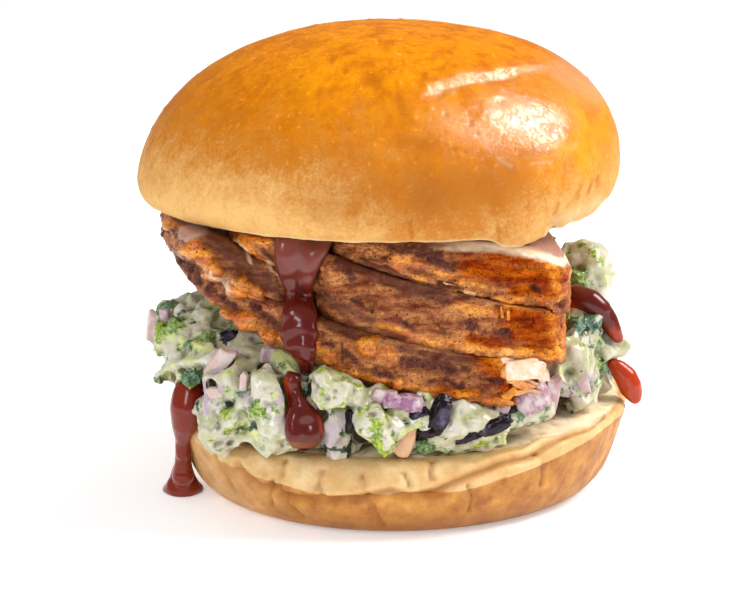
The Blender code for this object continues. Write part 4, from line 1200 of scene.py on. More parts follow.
ONION_DICE = [
    # pixel, out, length, height, depth, turn, how purple
    ((384, 396), 1.2, 4.8, 2.8, 2.6, 20, 0.6), ((393, 402), 1.4, 4.2, 2.8, 2.6, 14, 1),
    ((409, 404), 1.6, 6, 3.4, 3, -8, 0.9), ((535, 385), 2.6, 8.4, 3, 4, 20, 0.1),
    ((549, 395), 2.2, 3.4, 8.6, 4, 10, 0.4), ((530, 400), 3.8, 8.4, 5.6, 3.8, -22, 0.7),
    ((583, 383), 0.6, 2.6, 5.6, 2.4, -14, 0.15), ((153, 329), -0.2, 3, 7, 2.4, 8, 0.1),
    ((165, 314), 1, 2, 2.6, 1.6, -10, 0.6), ((221, 361), 1.3, 3.6, 6.8, 2.4, 38, 0),
    ((268, 355), 1.5, 3, 3.2, 2.4, 18, 0.5), ((244, 388), 0.7, 1.6, 5.6, 1.8, 3, 0.1),
    ((216, 394), 0.4, 3.4, 2.8, 1.8, -20, 0), ((502, 408), 0.4, 2.8, 3.2, 2, 24, 0.3),
]
onion_parts = []
for i, (pixel, out, length, height, depth, turn, purple) in enumerate(ONION_DICE):
    points, faces = chunk(length, height, depth, 1.3 * i)
    placed = set_in_view(points, pixel, out - 0.5 * depth, turn, 18 * sin(2.1 * i))
    onion_parts.append((placed, faces, purple))
for i in range(16):
    points, faces = chunk(dice.uniform(3, 5.5), dice.uniform(3, 5.5), 2.4, 0.9 * i)
    roll = dice.uniform(-0.8, 0.8)
    placed = set_round_the_back(points, 22 + 160 * i / 15, 27 + 9 * (i % 2), roll)
    onion_parts.append((placed, faces, i * 0.37 % 1))
onion_mesh = gather("red_onion", onion_parts)

# red onion gone glassy in the dressing: lilac and purple skin, paler flesh, wet
glassy_onion, tree = blank_material("glassy_red_onion")
purple = put(tree, "Attribute", {"attribute_name": "shade"}).outputs["Fac"]
where = put(tree, "TexCoord").outputs["Object"]
streaks = put(tree, "TexNoise", {"Scale": 330, "Detail": 4, "Roughness": 0.6}, {"Vector": where})
film = put(tree, "MapRange", {"From": (0.45, 0.62), "To": (0, 0.85)}, {"Value": streaks})
flesh = put(tree, "MixRGB", {"Color1": "#D2B4AC", "Color2": "#8E5482"}, {"Fac": purple})
filmed = put(tree, "MixRGB", {"Color2": "#DCCFCC"}, {"Fac": film, "Color1": flesh})
skin = put(tree, "BsdfPrincipled", {"Roughness": 0.3, "IOR": 1.4, "Specular IOR Level": 0.3,
                                    "Coat Weight": 0.5, "Coat Roughness": 0.1}, {"Base Color": filmed})
put(tree, "OutputMaterial", links={"Surface": skin})
onion = serve("red_onion_dice", onion_mesh, glassy_onion)
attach(onion, "root")

RAISINS = [
    # pixel, out, length, height, turn
    ((440, 414), 2.8, 9, 4.4, -60), ((430, 433), 1, 5.4, 2.6, -16), ((492, 425), 1.4, 9, 3.4, -24),
    ((470, 436), 0.9, 7, 2.8, -16), ((508, 412), 0.9, 4.6, 3.8, -50), ((351, 416), 0.4, 3.2, 6.6, 8),
    ((419, 414), 0.7, 5, 2.4, -14), ((226, 342), 0, 8, 5, -35), ((233, 404), 0.1, 3.2, 1.4, 10),
]
raisin_parts = []
for i, (pixel, out, length, height, turn) in enumerate(RAISINS):
    points, faces = chunk(length, height, height * 0.9, 2.2 * i, rounded=1)
    placed = set_in_view(wrinkled(points, i), pixel, out - 0.4 * height, turn)
    raisin_parts.append((placed, faces, 0))
for i in range(7):
    points, faces = chunk(5.5, 3.2, 3, 1.9 * i, rounded=1)
    roll = dice.uniform(-0.8, 0.8)
    placed = set_round_the_back(wrinkled(points, 20 + i), 30 + 145 * i / 6, 24 + 11 * (i % 2), roll)
    raisin_parts.append((placed, faces, 0))
raisin_mesh = gather("raisins", raisin_parts)

# sun-dried grape skin: purple-black, creased, with lilac patches that are partly a film of dressing smeared
# over it and partly a painted sheen
dried_grape, tree = blank_material("dried_grape_skin")
where = put(tree, "TexCoord").outputs["Object"]
smear_and_sheen = put(tree, "TexNoise", {"Scale": 260, "Detail": 4, "Roughness": 0.6}, {"Vector": where})
film = put(tree, "MapRange", {"From": (0.54, 0.7), "To": (0, 0.5)}, {"Value": smear_and_sheen})
filmed = put(tree, "MixRGB", {"Color1": "#160A14", "Color2": "#7C7096"}, {"Fac": film})
skin = put(tree, "BsdfPrincipled", {"Roughness": 0.3, "IOR": 1.45, "Specular IOR Level": 0.15,
                                    "Coat Weight": 0.35, "Coat Roughness": 0.12}, {"Base Color": filmed})
put(tree, "OutputMaterial", links={"Surface": skin})
raisins = serve("raisins", raisin_mesh, dried_grape)
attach(raisins, "root")

points, faces = chunk(8.6, 4.6, 1.8, 0.4, tapered=0.5, rounded=0.8)
almond_parts = [(set_in_view(points, (408, 436), 4.2, -58), faces, 0)]
for i, degrees in enumerate((52, 108, 155)):
    points, faces = chunk(7, 3.2, 1.3, i, tapered=0.4)
    almond_parts.append((set_round_the_back(points, degrees, 31, 0.7 * (i - 1)), faces, 0))
almond_mesh = gather("almonds", almond_parts)

# blanched almond: warm ivory flesh, dull, with a touch of dressing
blanched, tree = blank_material("blanched_almond")
where = put(tree, "TexCoord").outputs["Object"]
fibre = put(tree, "TexNoise", {"Scale": 500, "Detail": 3}, {"Vector": where})
ivory = put(tree, "MixRGB", {"Color1": "#CF9674", "Color2": "#E8BE98"}, {"Fac": fibre})
skin = put(tree, "BsdfPrincipled", {"Roughness": 0.5, "IOR": 1.45, "Specular IOR Level": 0.3,
                                    "Coat Weight": 0.2}, {"Base Color": ivory})
put(tree, "OutputMaterial", links={"Surface": skin})
almonds = serve("almond_slivers", almond_mesh, blanched)
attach(almonds, "root")


# ==== Torn meat and fat at the slices' ends ====
# A pale block of fat and pink meat stands out of the bottom slice's right end, with orange shreds
# torn loose below it; thin shreds and fibres lie on the other slices' faces.

BOTTOM_SLICE_END, BOTTOM_SLICE_TOP = 506, 354  # pixels


def set_on_ribs(points, pixel, out, turn):
    """Lays a shred on the rib that shows at a pixel, or level with it past the bottom slice."""
    beside = (min(pixel[0], BOTTOM_SLICE_END), pixel[1]) if pixel[1] > BOTTOM_SLICE_TOP else pixel
    hits = [hit for tree in rib_trees.values() for hit in seen_on(tree, beside)]
    reach = (max(hits, key=lambda hit: hit @ to_camera) - camera_at) @ to_camera
    ray = line_of_sight(pixel)
    laid = spun(points, radians(turn), "Y", 0, "Z")
    return laid + camera_at + ray * (reach / (ray @ to_camera)) + to_camera * out


SHREDS = [
    # pixel, out, length, height, depth, turn, taper, how orange
    ((522, 367), -0.6, 7, 4.6, 5, 4, 0.1, 0), ((532, 369), -1.6, 5.4, 4.8, 6, 14, 0.15, 0),
    ((515, 358), -0.4, 6, 1.8, 2.4, -4, 0.2, 0.3), ((543, 376), -4, 3, 3, 3, 60, 0.2, 0),
    ((514, 378), -0.2, 6, 2.6, 2.6, 30, 0.4, 0.9), ((521, 382), -0.6, 6, 1.9, 2, 14, 0.6, 0.8),
    ((527, 387), -1, 6.4, 1.6, 1.8, 20, 0.7, 0.65), ((520, 391), -0.8, 4.4, 1.6, 1.6, -4, 0.6, 0.8),
    ((530, 381), -1.6, 4.6, 1.3, 1.5, 28, 0.6, 0.5), ((510, 394), -0.2, 3.6, 2.2, 1.8, -30, 0.4, 1),
    ((505, 402), -0.2, 3.4, 1.6, 1.6, 20, 0.5, 1), ((507, 352), -0.3, 3.2, 1.6, 1.8, 10, 0.3, 0.9),
    ((556, 353), -0.8, 2.4, 3, 1.8, 10, 0.3, 1), ((502, 317), -0.2, 0.6, 3.8, 0.7, -2, 0.1, 1),
    ((508, 316), -0.2, 0.6, 3.4, 0.7, 3, 0.1, 1), ((496, 317), -0.2, 0.6, 3, 0.7, 12, 0.1, 1),
    ((451, 285), -0.2, 3.6, 0.8, 0.7, 16, 0.3, 0.8), ((470, 293), -0.1, 2.4, 0.9, 0.7, 22, 0.3, 0.7),
]
shred_parts = []
for i, (pixel, out, length, height, depth, turn, taper, orange) in enumerate(SHREDS):
    points, faces = chunk(length, height, depth, 0.7 * i, taper)
    points = points * (1 + (0.1 if i < 2 else 0.2) * rough(points, 1.6, 400 + i))[:, None]
    shred_parts.append((set_on_ribs(points, pixel, out, turn), faces, orange))
shred_mesh = gather("rib_shreds", shred_parts)

# roasted pork fat and pulled fibre: cream and glassy where cut, orange where the rub reached it
pork_fat, tree = blank_material("roasted_pork_fat")
rubbed = put(tree, "Attribute", {"attribute_name": "shade"}).outputs["Fac"]
where = put(tree, "TexCoord").outputs["Object"]
blush = put(tree, "TexNoise", {"Scale": 420, "Detail": 5, "Roughness": 0.65}, {"Vector": where})
blushes = put(tree, "MapRange", {"From": (0.4, 0.65)}, {"Value": blush})
pale = put(tree, "MixRGB", {"Color1": "#EBC09A", "Color2": "#FBEBDA"}, {"Fac": blushes})
rubbed_tone = put(tree, "MixRGB", {"Color1": "#C86A10", "Color2": "#F2B040"}, {"Fac": blushes})
fat_tone = put(tree, "MixRGB", {}, {"Fac": rubbed, "Color1": pale, "Color2": rubbed_tone})
skin = put(tree, "BsdfPrincipled", {"Roughness": 0.35, "IOR": 1.45, "Specular IOR Level": 0.2,
                                    "Coat Weight": 0.4, "Coat Roughness": 0.12}, {"Base Color": fat_tone})
put(tree, "OutputMaterial", links={"Surface": skin})
shreds = serve("rib_meat_shreds", shred_mesh, pork_fat)
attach(shreds, "root")


# ==== Sauce ====
# Barbecue sauce of tomato, molasses and vinegar, poured over the ribs. It pools under the crown,
# hangs in ripples and thick drops, and is painted a lighter red where it is thin or seen edge-on, a painted
# glow for light let through.

loose_trees = [salad_trees["front"], heel_tree]
drape_trees = [*rib_trees.values(), *loose_trees]


def first_reach(trees, ray):
    """How far a ray from the camera goes before it meets a piece; not a number if it misses."""
    hits = [tree.ray_cast(Vector(camera_at), Vector(ray)) for tree in trees]
    return min((hit[3] for hit in hits if hit[0] is not None), default=np.nan)


def shifted(padded, steps):
    """Copies of a padded grid without its border, each moved by a step down and a step across."""
    height, width = padded.shape[0] - 2, padded.shape[1] - 2
    return np.stack([padded[1 + a : 1 + a + height, 1 + b : 1 + b + width] for a, b in steps])


def drape(edges, thickness, steps=60, across=15, bridging=1, level=0):
    """A closed ribbon of sauce lying on whatever the camera sees between pairs of edge pixels."""
    edges = np.array(edges, float)
    share = np.linspace(0, len(edges) - 1, steps)
    low = np.clip(share.astype(int), 0, len(edges) - 2)
    part = (share - low)[:, None, None]
    part = part * part * (3 - 2 * part) * 0.5 + part * 0.5
    rows = edges[low] * (1 - part) + edges[low + 1] * part
    side = np.linspace(0, 1, across)
    pixels = rows[:, 0, None, :] * (1 - side)[None, :, None] + rows[:, 1, None, :] * side[None, :, None]
    rays = np.array([[line_of_sight(pixel) for pixel in row] for row in pixels])
    reach = np.array([[first_reach(drape_trees, ray) for ray in row] for row in rays])
    # it bridges small hollows, and leaves out rays that pass by the sandwich
    for _ in range(80):
        beside = shifted(np.pad(reach, 1, constant_values=np.nan), ((0, 1), (0, -1), (1, 0), (-1, 0)))
        known = ~np.isnan(beside)
        middle = np.where(known, beside, 0).sum(axis=0) / np.maximum(known.sum(axis=0), 1)
        reach = np.where(np.isnan(reach) & known.any(axis=0), middle, reach)
    block = [(a, b) for a in (-1, 0, 1) for b in (-1, 0, 1)]
    for again in range(12 + bridging):
        beside = shifted(np.pad(reach, 1, mode="edge"), block)
        reach = beside.min(axis=0) if again < bridging else 0.5 * reach + 0.5 * beside.mean(axis=0)
    reach = reach * (1 - level) + reach.min(axis=1, keepdims=True) * level
    bulge = np.sqrt(np.clip(1 - np.abs(2 * side - 1) ** 2.6, 0, 1))[None, :]
    end = np.minimum(np.arange(steps), np.arange(steps)[::-1]) / 5
    bulge = bulge * np.sqrt(np.clip(1 - np.clip(1 - end, 0, 1) ** 2, 0.02, 1))[:, None]
    front = camera_at + rays * (reach - 0.12 - thickness * bulge)[..., None]
    back = camera_at + rays * (reach + 0.7 + 0.3 * bulge)[..., None]
    rings = np.concatenate([front, back[:, ::-1]], axis=1)
    tips = [rings[end].mean(axis=0)[None] for end in (0, -1)]
    points = np.concatenate([tips[0], rings.reshape(-1, 3), tips[1]])
    return mesh_from("ribbon", points, ring_faces(steps, 2 * across))


bead_points, bead_faces = round_ball(3)


def drips(over, sink, *beads):
    """A run of round beads, each a pixel and a radius, on what the camera sees there."""
    rows = []
    for (pixel, radius), (next_pixel, next_radius) in zip(beads, beads[1:]):
        for share in np.linspace(0, 1, 7):
            rows.append([*(np.array(pixel) * (1 - share) + np.array(next_pixel) * share),
                         radius * (1 - share) + next_radius * share])
    rows = np.array(rows)
    rays = np.array([line_of_sight(row[:2]) for row in rows])
    reach = np.array([first_reach(over, ray) for ray in rays])
    known = ~np.isnan(reach)
    steps = np.arange(len(reach))
    reach = np.interp(steps, steps[known], reach[known])
    for _ in range(20):
        reach = np.convolve(np.pad(reach, 1, mode="edge"), [0.25, 0.5, 0.25], "valid")
    places = camera_at + rays * (reach + sink * rows[:, 2])[:, None]
    points = bead_points[None] * rows[:, 2, None, None] + places[:, None]
    faces = bead_faces[None] + (steps * len(bead_points))[:, None, None]
    return mesh_from("drips", points.reshape(-1, 3), faces.reshape(-1, 3).tolist())


# thick dark red syrup; the wet skin mirrors the room, thin parts and edges are painted a lighter red as a
# painted glow, and the pool is painted paler as a painted reflection
syrup, tree = blank_material("molasses_barbecue_sauce")
thin, clouded = (put(tree, "Attribute", {"attribute_name": name}).outputs["Fac"]
                 for name in ("thin", "clouded"))
facing = put(tree, "LayerWeight", {"Blend": 0.4}).outputs["Facing"]
# painted glow: where the sauce is seen edge-on it is painted a lighter red
edge = put(tree, "MapRange", {"From": (0.45, 1), "To": (0, 0.35)}, {"Value": facing})
painted_glow = put(tree, "Math", {"operation": "ADD", "use_clamp": True}, {0: edge, 1: thin})
syrup_tone = put(tree, "MixRGB", {"Color1": "#5A130A", "Color2": "#C43C0A"}, {"Fac": painted_glow})
# painted reflection: the pool under the crown is painted paler and greyer
syrup_tone = put(tree, "MixRGB", {"Color2": "#84463C"}, {"Fac": clouded, "Color1": syrup_tone})
skin = put(tree, "BsdfPrincipled",
           {"Roughness": 0.25, "IOR": 1.5, "Specular IOR Level": 0.1, "Coat Weight": 0.7,
            "Coat IOR": 1.5, "Coat Roughness": 0.15}, {"Base Color": syrup_tone})
put(tree, "OutputMaterial", links={"Surface": skin})

plain_left_run = plain("sauce_run_left")
left_run = [tree_of(plain_left_run)]
right_run, run_behind = ([tree_of(plain(node))] for node in ("sauce_run_right", "sauce_run_behind"))
# where the left run reaches the table
left_points = points_of(plain_left_run)
foot_at = left_points[left_points[:, 2] < 1].mean(axis=0) * [1, 1, 0]
POURED = {
    "sauce_run_ribs": [
        drape([((275, 236), (335, 236)), ((275, 250), (330, 247)), ((275, 262), (324, 258)),
               ((279, 277), (317, 272)), ((286, 290), (312, 288)), ((285, 300), (314, 300)),
               ((283, 312), (316, 314)), ((282, 326), (317, 326)), ((281, 340), (317, 338)),
               ((287, 351), (315, 350)), ((297, 362), (314, 362)),
               ((302, 374), (312, 372))], 1.5, 84, 21, bridging=4, level=0.35),
        drips(drape_trees, 0.5, ((300, 336), 2.6), ((301, 350), 2.4)),
    ],
    "sauce_run_salad": [
        drape([((287, 371), (300, 374)), ((284, 384), (301, 386)), ((288, 396), (304, 397)),
               ((289, 406), (313, 407)), ((286, 418), (321, 417)), ((285, 430), (323, 430)),
               ((287, 441), (321, 441)), ((293, 448), (314, 448))], 2, 54, 19, bridging=6, level=0.4),
        drips(loose_trees, 0.1, ((293, 388), 1.3), ((296, 404), 2), ((303, 422), 3.2), ((304, 437), 3)),
    ],
    "sauce_run_left": [
        drips(left_run, -0.4, ((203, 378), 0.9), ((198, 388), 2), ((190, 396), 3.9), ((189, 407), 4.2),
              ((185, 422), 3), ((183, 438), 1.7), ((183, 454), 1.7)),
        drips(left_run, 0.2, ((183, 450), 1.7), ((183, 464), 1.9), ((183, 476), 2.4)),
        drips(left_run, -1.1, ((192, 398), 2.6), ((191, 408), 2.8), ((195, 412), 2.4)),
    ],
    "sauce_run_behind": [
        drips(run_behind, 0.8, ((563, 301), 3.3), ((577, 298), 3), ((590, 302), 2.8), ((600, 310), 2.5),
              ((608, 320), 2.2), ((614, 331), 1.7), ((618, 338), 1.2)),
    ],
    "sauce_run_right": [
        drips(right_run, 0.8, ((613, 364), 1.2), ((619, 369), 2), ((626, 377), 2.5), ((630, 386), 2.6),
              ((633, 392), 2.1), ((635, 398), 1.4)),
    ],
}
RIPPLE_PIXELS = 18.5
for node, meshes in POURED.items():
    if node == "sauce_run_left":
        # its foot spreads on the table as a rounded puddle, and the run flares into it
        foot = [bead_points * [4.9, 4.4, 3.4] + foot_at + [0, 1.2, -0.3],
                *(bead_points * size + foot_at for size in ([4.1, 3.9, 5.2], [3.1, 3.1, 8.5]))]
        for lump in foot:
            lump[:, 2] = np.maximum(lump[:, 2], 0.02)
        meshes = meshes + [mesh_from("foot", lump, bead_faces.tolist()) for lump in foot]
    run_mesh = fused(node, meshes, 0.33)
    move_points(run_mesh, softened(run_mesh, 14 if node == "sauce_run_left" else 7))
    run_points, normals = points_of(run_mesh), normals_of(run_mesh)
    seen = in_view(run_points)
    across, down = seen[:, 0], seen[:, 1]
    ripple = np.sin((down - 304 - 0.02 * (across - 300) ** 2) * 2 * pi / RIPPLE_PIXELS)
    ripple = ripple * step_up(down, 292, 303) * (1 - step_up(down, 350, 360)) * (across < 322)
    ripple = ripple * (node == "sauce_run_ribs")
    lifted = run_points + normals * (0.2 + 0.2 * ripple + 0.12 * rough(run_points, 5, 820))[:, None]
    lifted[:, 2] = np.maximum(lifted[:, 2], 0)
    move_points(run_mesh, lifted)
    # painted glow: a lighter red where the sauce is thin, and on the drops over the bun's rim, standing in
    # for light let through
    thin = 0.6 * strokes(seen, (3, (286, 380), (287, 392)), (5, (200, 380), (205, 374)),
                         (5, (614, 331), (618, 337)), (2, (319, 416), (322, 432)),
                         (3, (203, 402), (203, 416)), (5, (571, 306), (575, 312)))
    thin = thin + 0.65 * (node == "sauce_run_right") + 0.2 * (node == "sauce_run_left")
    # painted reflection: the pool under the crown is painted paler, as the bright room mirrored in it
    pool_sheen_strokes = strokes(seen, (22, (292, 240), (316, 242)), (17, (298, 256), (304, 266)))
    pool_sheen_strokes = pool_sheen_strokes * (node == "sauce_run_ribs")
    paint(run_mesh, "clouded", np.clip(1.2 * pool_sheen_strokes * (run_points[:, 1] < 0), 0, 0.6))
    paint(run_mesh, "thin", np.clip(thin, 0, 1) * (run_points[:, 1] < 0))
    run = serve(node + "_poured", run_mesh, syrup)
    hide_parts(node)
    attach(run, "root")


# ==== Crown of the bun ====
# The top half of the brioche bun, brushed with egg and baked: deep orange and shiny on top, paler
# down its sides, with fine pores, blisters, a fold across the shoulder and a torn right corner.

CROWN_RADIUS = 54.6
CROWN_CUT_RADIUS = 49.8
CROWN_RIM = 8
RIM_RISE = 1.6
CROWN_DOME = 33.5
CROWN_HOLLOW = 1
TOP_POWER = 2.6
SIDE_POWER = 1.9
DOME_LEAN = 4
CROWN_COLUMNS = 540
BAKE_HEIGHT = 41  # where the bake is fullest, above the cut

# the columns stand closer together in front
turn = np.linspace(0, 2 * pi, 4001)
crowding = 1 + 1.1 * np.exp(-(((turn - 1.5 * pi) / 1.15) ** 2))
walked = np.concatenate([[0], np.cumsum(crowding[1:])])
crown_angle = np.interp(np.arange(CROWN_COLUMNS) / CROWN_COLUMNS * walked[-1], walked, turn)
rim_height = CROWN_RIM + RIM_RISE * np.cos(crown_angle)
crown_rows = [(CROWN_CUT_RADIUS * share + 0 * crown_angle, CROWN_HOLLOW * (1 - share**2) + 0 * crown_angle)
              for share in np.linspace(0.04, 0.96, 22)]
for turn in np.radians(np.linspace(8, 86, 20)):
    radius = CROWN_CUT_RADIUS + (CROWN_RADIUS - CROWN_CUT_RADIUS) * sin(turn)
    crown_rows.append((radius + 0 * crown_angle, rim_height * (1 - cos(turn))))
for turn in np.radians(np.linspace(0.8, 89.2, 120)):
    radius = CROWN_RADIUS * cos(turn) ** (2 / TOP_POWER)
    height = rim_height + (CROWN_RIM + CROWN_DOME - rim_height) * sin(turn) ** (2 / SIDE_POWER)
    crown_rows.append((radius + 0 * crown_angle, height))
rings = []
for radius, height in crown_rows:
    radius = radius * bun_swell(crown_angle, 2)
    x = radius * np.cos(crown_angle) + height * DOME_LEAN / CROWN_DOME
    rings.append(np.stack([x, radius * np.sin(crown_angle), height], axis=1))
top_height = CROWN_RIM + CROWN_DOME
crown_top = [top_height * DOME_LEAN / CROWN_DOME, 0, top_height]
points = np.concatenate([[[0, 0, CROWN_HOLLOW]], *rings, [crown_top]])
lying = Matrix.Rotation(atan(LEFT_LIFT), 3, "Y") @ Matrix.Rotation(-atan(FRONT_LIFT), 3, "X")
points = points @ np.array(lying).T + np.array([*CROWN_CENTRE, CROWN_CUT_HEIGHT])
crown_mesh = mesh_from("bun_crown", points, ring_faces(len(crown_rows), CROWN_COLUMNS))
crown_tree = tree_of(crown_mesh)
normals = normals_of(crown_mesh)
seen = in_view(points)
nearer_side = step_up(-normals[:, 1], -0.35, -0.1)
local_height = points[:, 2] - CROWN_CUT_HEIGHT
upper = step_up(local_height, 3, 9)
below = 1 - step_up(normals[:, 2], -0.95, -0.7)


def fold(points, normals, path, drop, width, fade):
    """A crease where the crust has slipped down: raised above the path, sunk below it."""
    best, side, along_share = np.full(len(points), 1e9), np.zeros(len(points)), np.zeros(len(points))
    for i, (start, end) in enumerate(zip(path, path[1:])):
        along = end - start
        share = np.clip((points - start) @ along / (along @ along), 0, 1)
        away = points - start - share[:, None] * along
        gap = np.linalg.norm(away, axis=1)
        downhill = np.cross(along, normals)
        nearer = gap < best
        best = np.where(nearer, gap, best)
        side = np.where(nearer, np.sign(np.einsum("ij,ij->i", away, downhill)), side)
        along_share = np.where(nearer, (i + share) / (len(path) - 1), along_share)
    signed = best * side
    full_width = width
    width = width * (1 + 0.35 * swells(points, 2.2, 90)) * (0.1 + 0.9 * step_up(along_share, 0, 0.42))
    width = width * (1 - 0.8 * step_up(along_share, 0.62, 0.95))
    drop = drop * width / full_width
    slope = np.clip(signed / width + 0.5, 0, 1)
    lip = near(np.minimum(signed + 0.5 * width, 0), fade) * (1 - slope)
    trough = near(np.maximum(signed - 0.5 * width, 0), 1.4 * fade) * slope
    ends = step_up(along_share, 0, 0.04) * step_up(1 - along_share, 0, 0.06)
    # the second amount is a dark line along the fold's trough, painted shade
    return drop * ends * (0.5 * lip - 0.5 * trough), ends * near(signed - 0.7 * width, 0.35 * width)


# creases in the crust: path in pixels, then drop, width and fade in millimetres
FOLDS = (
    (((418, 99), (426, 94), (433, 89), (442, 83), (460, 79), (490, 74), (522, 68), (550, 66), (578, 69)),
     1.15, 2.5, 5.5),
    (((500, 158), (509, 165), (520, 172)), 0.6, 1.8, 2.4),
    (((528, 161), (542, 162), (556, 160)), 0.35, 0.9, 2),
    (((592, 192), (595, 176), (593, 156)), 0.7, 1.3, 1.6),
    (((603, 196), (608, 178), (606, 160)), 0.5, 1.1, 1.6),
    (((340, 62), (352, 58), (366, 60)), 0.35, 0.9, 1.6), (((402, 94), (409, 88), (417, 90)), 0.5, 1.4, 1.8),
    (((434, 70), (440, 64), (448, 58)), 0.4, 1.2, 1.8),
    (((560, 118), (566, 128), (573, 138)), 0.4, 1.3, 2.4),
)
# small marks: width and place in pixels
DENTS = ((10, (602, 150)), (6, (575, 142)), (4, (504, 98)), (3, (482, 116)), (4, (538, 112)))
BUBBLES = (
    (4.5, (403, 72)), (4, (410, 88)), (3, (399, 84)), (4, (425, 86)), (3.5, (428, 73)), (3.5, (436, 60)),
    (2.5, (416, 66)), (2.5, (446, 66)), (3, (420, 95)), (2.5, (405, 60)), (3, (392, 96)), (3, (413, 117)),
    (3, (385, 70)), (2.5, (393, 62)), (2.5, (430, 106)), (2.5, (444, 152)), (2, (460, 156)),
    (3, (482, 116)), (2.5, (376, 64)), (2.5, (453, 52)),
)
SPOTS = (
    (3.5, (330, 60)), (3.5, (344, 71)), (2.5, (318, 86)), (2.5, (300, 74)), (2.5, (285, 92)),
    (2.5, (455, 150)), (3, (502, 98)), (3, (471, 122)), (2.5, (446, 112)), (2, (478, 133)), (6, (555, 130)),
    (4, (546, 126)), (2, (528, 117)),
)
# browner stains, and darker lines as painted shade in the wrinkles at the lower right and by the torn
# corner: width and path in pixels
STAINS_AND_SHADE = (
    (7, (372, 78), (384, 90)), (5, (398, 96), (404, 112)), (5, (318, 92)), (8, (402, 140), (430, 146)),
    (5, (520, 152), (550, 150)), (4, (440, 94), (448, 90)), (9, (556, 128)), (5, (470, 122)),
    (3, (546, 228), (556, 226)), (2, (594, 178), (591, 193)), (2, (601, 176), (599, 187)),
    (2.5, (583, 186), (578, 200)), (2.5, (560, 204), (556, 214)), (2, (498, 222), (500, 236)),
    (2, (410, 222), (412, 238)),
)
shift = upper * (0.55 * rough(points, 26, 11, 2) + 0.16 * rough(points, 6, 14, 2))
shine_spot = seen_on(crown_tree, (535, 122))[0]
shine_zone = near(np.linalg.norm(points - shine_spot, axis=1), 26)
leathery = np.abs(rough(points, (3.2, 2.4, 2.4), 21, 4))
shift -= 0.12 * near(leathery, 0.1) * (0.15 + 0.1 * shine_zone) * upper
shift += 0.05 * rough(points, 1.7, 24, 2) * upper * (0.7 - 0.4 * shine_zone)
# painted shade along the trough under each fold
fold_shade_lines = np.zeros(len(points))
for path, drop, width, fade in FOLDS:
    step, line = fold(points, normals, seen_on(crown_tree, *path), drop, width, fade)
    shift += step
    fold_shade_lines = np.maximum(fold_shade_lines, line * min(drop, 1))
for size, place in DENTS:
    shift -= 0.05 * size * stroke(seen, size, place) * nearer_side
pore_gap, pore_number = scattered(points, 2.2, 41)
pits = np.where(pore_number > 0.55, near(pore_gap, 0.1 + 0.1 * pore_number), 0)
shift -= 0.16 * pits * upper
blister_gap, blister_number = scattered(points, 3.6, 51)
blisters = np.where(blister_number > 0.7, near(blister_gap, 0.17), 0)
bubbles, spots = (strokes(seen, *marks) * nearer_side for marks in (BUBBLES, SPOTS))
raised = 0.22 * blisters + 0.36 * bubbles * (1 + rough(points, 1.6, 86))
shift += (raised - 0.35 * spots) * upper
# the torn corner at the right, where the cut went crooked
tear = stroke(seen, 9, (558, 226), (582, 216), (606, 204)) * nearer_side
shift += tear * (0.9 * rough(points, 3, 81) - 0.8)
notch = stroke(seen, 6, (553, 230), (560, 222)) * nearer_side
shift += stroke(seen, 14, (520, 232)) * nearer_side - 1.6 * notch
rim_wave = (1 - upper) * (1 - below)
shift += rim_wave * 0.35 * rough(points, (7, 7, 9), 83)
shift += below * 0.35 * rough(points, 4, 61)
shift -= 0.35
move_points(crown_mesh, points + normals * shift[:, None])
points = points_of(crown_mesh)

# the cut sags in a torn fold at the right, in front of the top slice's corner
sag = stroke(in_view(points), 15, (506, 240), (530, 236), (547, 229)) * nearer_side
points[:, 2] -= sag * (1.5 + 0.7 * rough(points, 3, 91))
move_points(crown_mesh, points)

# a fuller bake on the top; darker low on the front, paler low on the left and the right
bake = local_height / BAKE_HEIGHT
for share, width, *path in ((0.3, 62, (450, 215), (478, 195)), (0.12, 40, (380, 200)),
                            (-0.16, 45, (250, 215), (180, 190)), (-0.04, 26, (588, 190), (560, 215))):
    bake += share * stroke(seen, width, *path) * nearer_side
bake += 0.1 * rough(points, 16, 71) + 0.07 * rough(points, 3, 75)
# golden patches: the one on the top is the crust's colour, the one on the right shoulder is painted light
# where the window light falls
gold = 0.7 * stroke(seen, 34, (590, 112), (580, 155)) + 0.6 * stroke(seen, 40, (330, 75), (400, 85))
gold = gold * step_up(rough(points, 5, 77), -0.5, 0.3)
stain_and_shade_amounts = strokes(seen, *STAINS_AND_SHADE) * (1 + 0.8 * rough(points, 2.4, 78))
# painted shade on the lower front of the crown
dusk = strokes(seen, (32, (425, 198), (468, 190), (500, 184)))
dusk = dusk * (1 + 0.35 * rough(points, 9, 79))
dusk = np.maximum(dusk, 0.45 * stroke(seen, 26, (330, 205), (400, 190)))
# the egg wash pooled and dried thick on the shoulder, and thinly in patches everywhere else; where it is
# thickest the crust is also painted paler, a painted highlight
shine = (1 - nearer_side) * step_up(rough(points, 16, 87), -0.5, 0.9) * step_up(bake, 0.3, 0.7)
shine = 0.5 * shine
for share, width, *path in ((1, 27, (508, 110), (548, 126)), (0.64, 22, (562, 68), (596, 90)),
                            (0.6, 5, (501, 158), (512, 166)), (0.6, 4, (533, 163), (552, 162)),
                            (0.55, 24, (448, 118), (490, 140)),
                            (0.6, 8, (430, 92), (460, 80), (520, 69), (560, 66))):
    shine = np.maximum(shine, 1.2 * (share * stroke(seen, width, *path) * nearer_side))
# the pits amount darkens the crust in pores, in dents and on blisters; in the pores and dents it is painted
# shade
for name, amounts in (("bake", bake), ("gold", np.clip(gold, 0, 1) * nearer_side),
                      ("under", np.maximum(below, np.clip(0.9 * tear - 0.3, 0, 1))), ("shine", shine),
                      ("pits", np.clip(pits + 0.5 * blisters + 0.7 * spots, 0, 1) * upper),
                      ("stain", np.clip(stain_and_shade_amounts, 0, 1) * nearer_side),
                      ("dusk", np.clip(dusk, 0, 1) * nearer_side), ("line", fold_shade_lines)):
    paint(crown_mesh, name, np.clip(amounts, 0, 1))

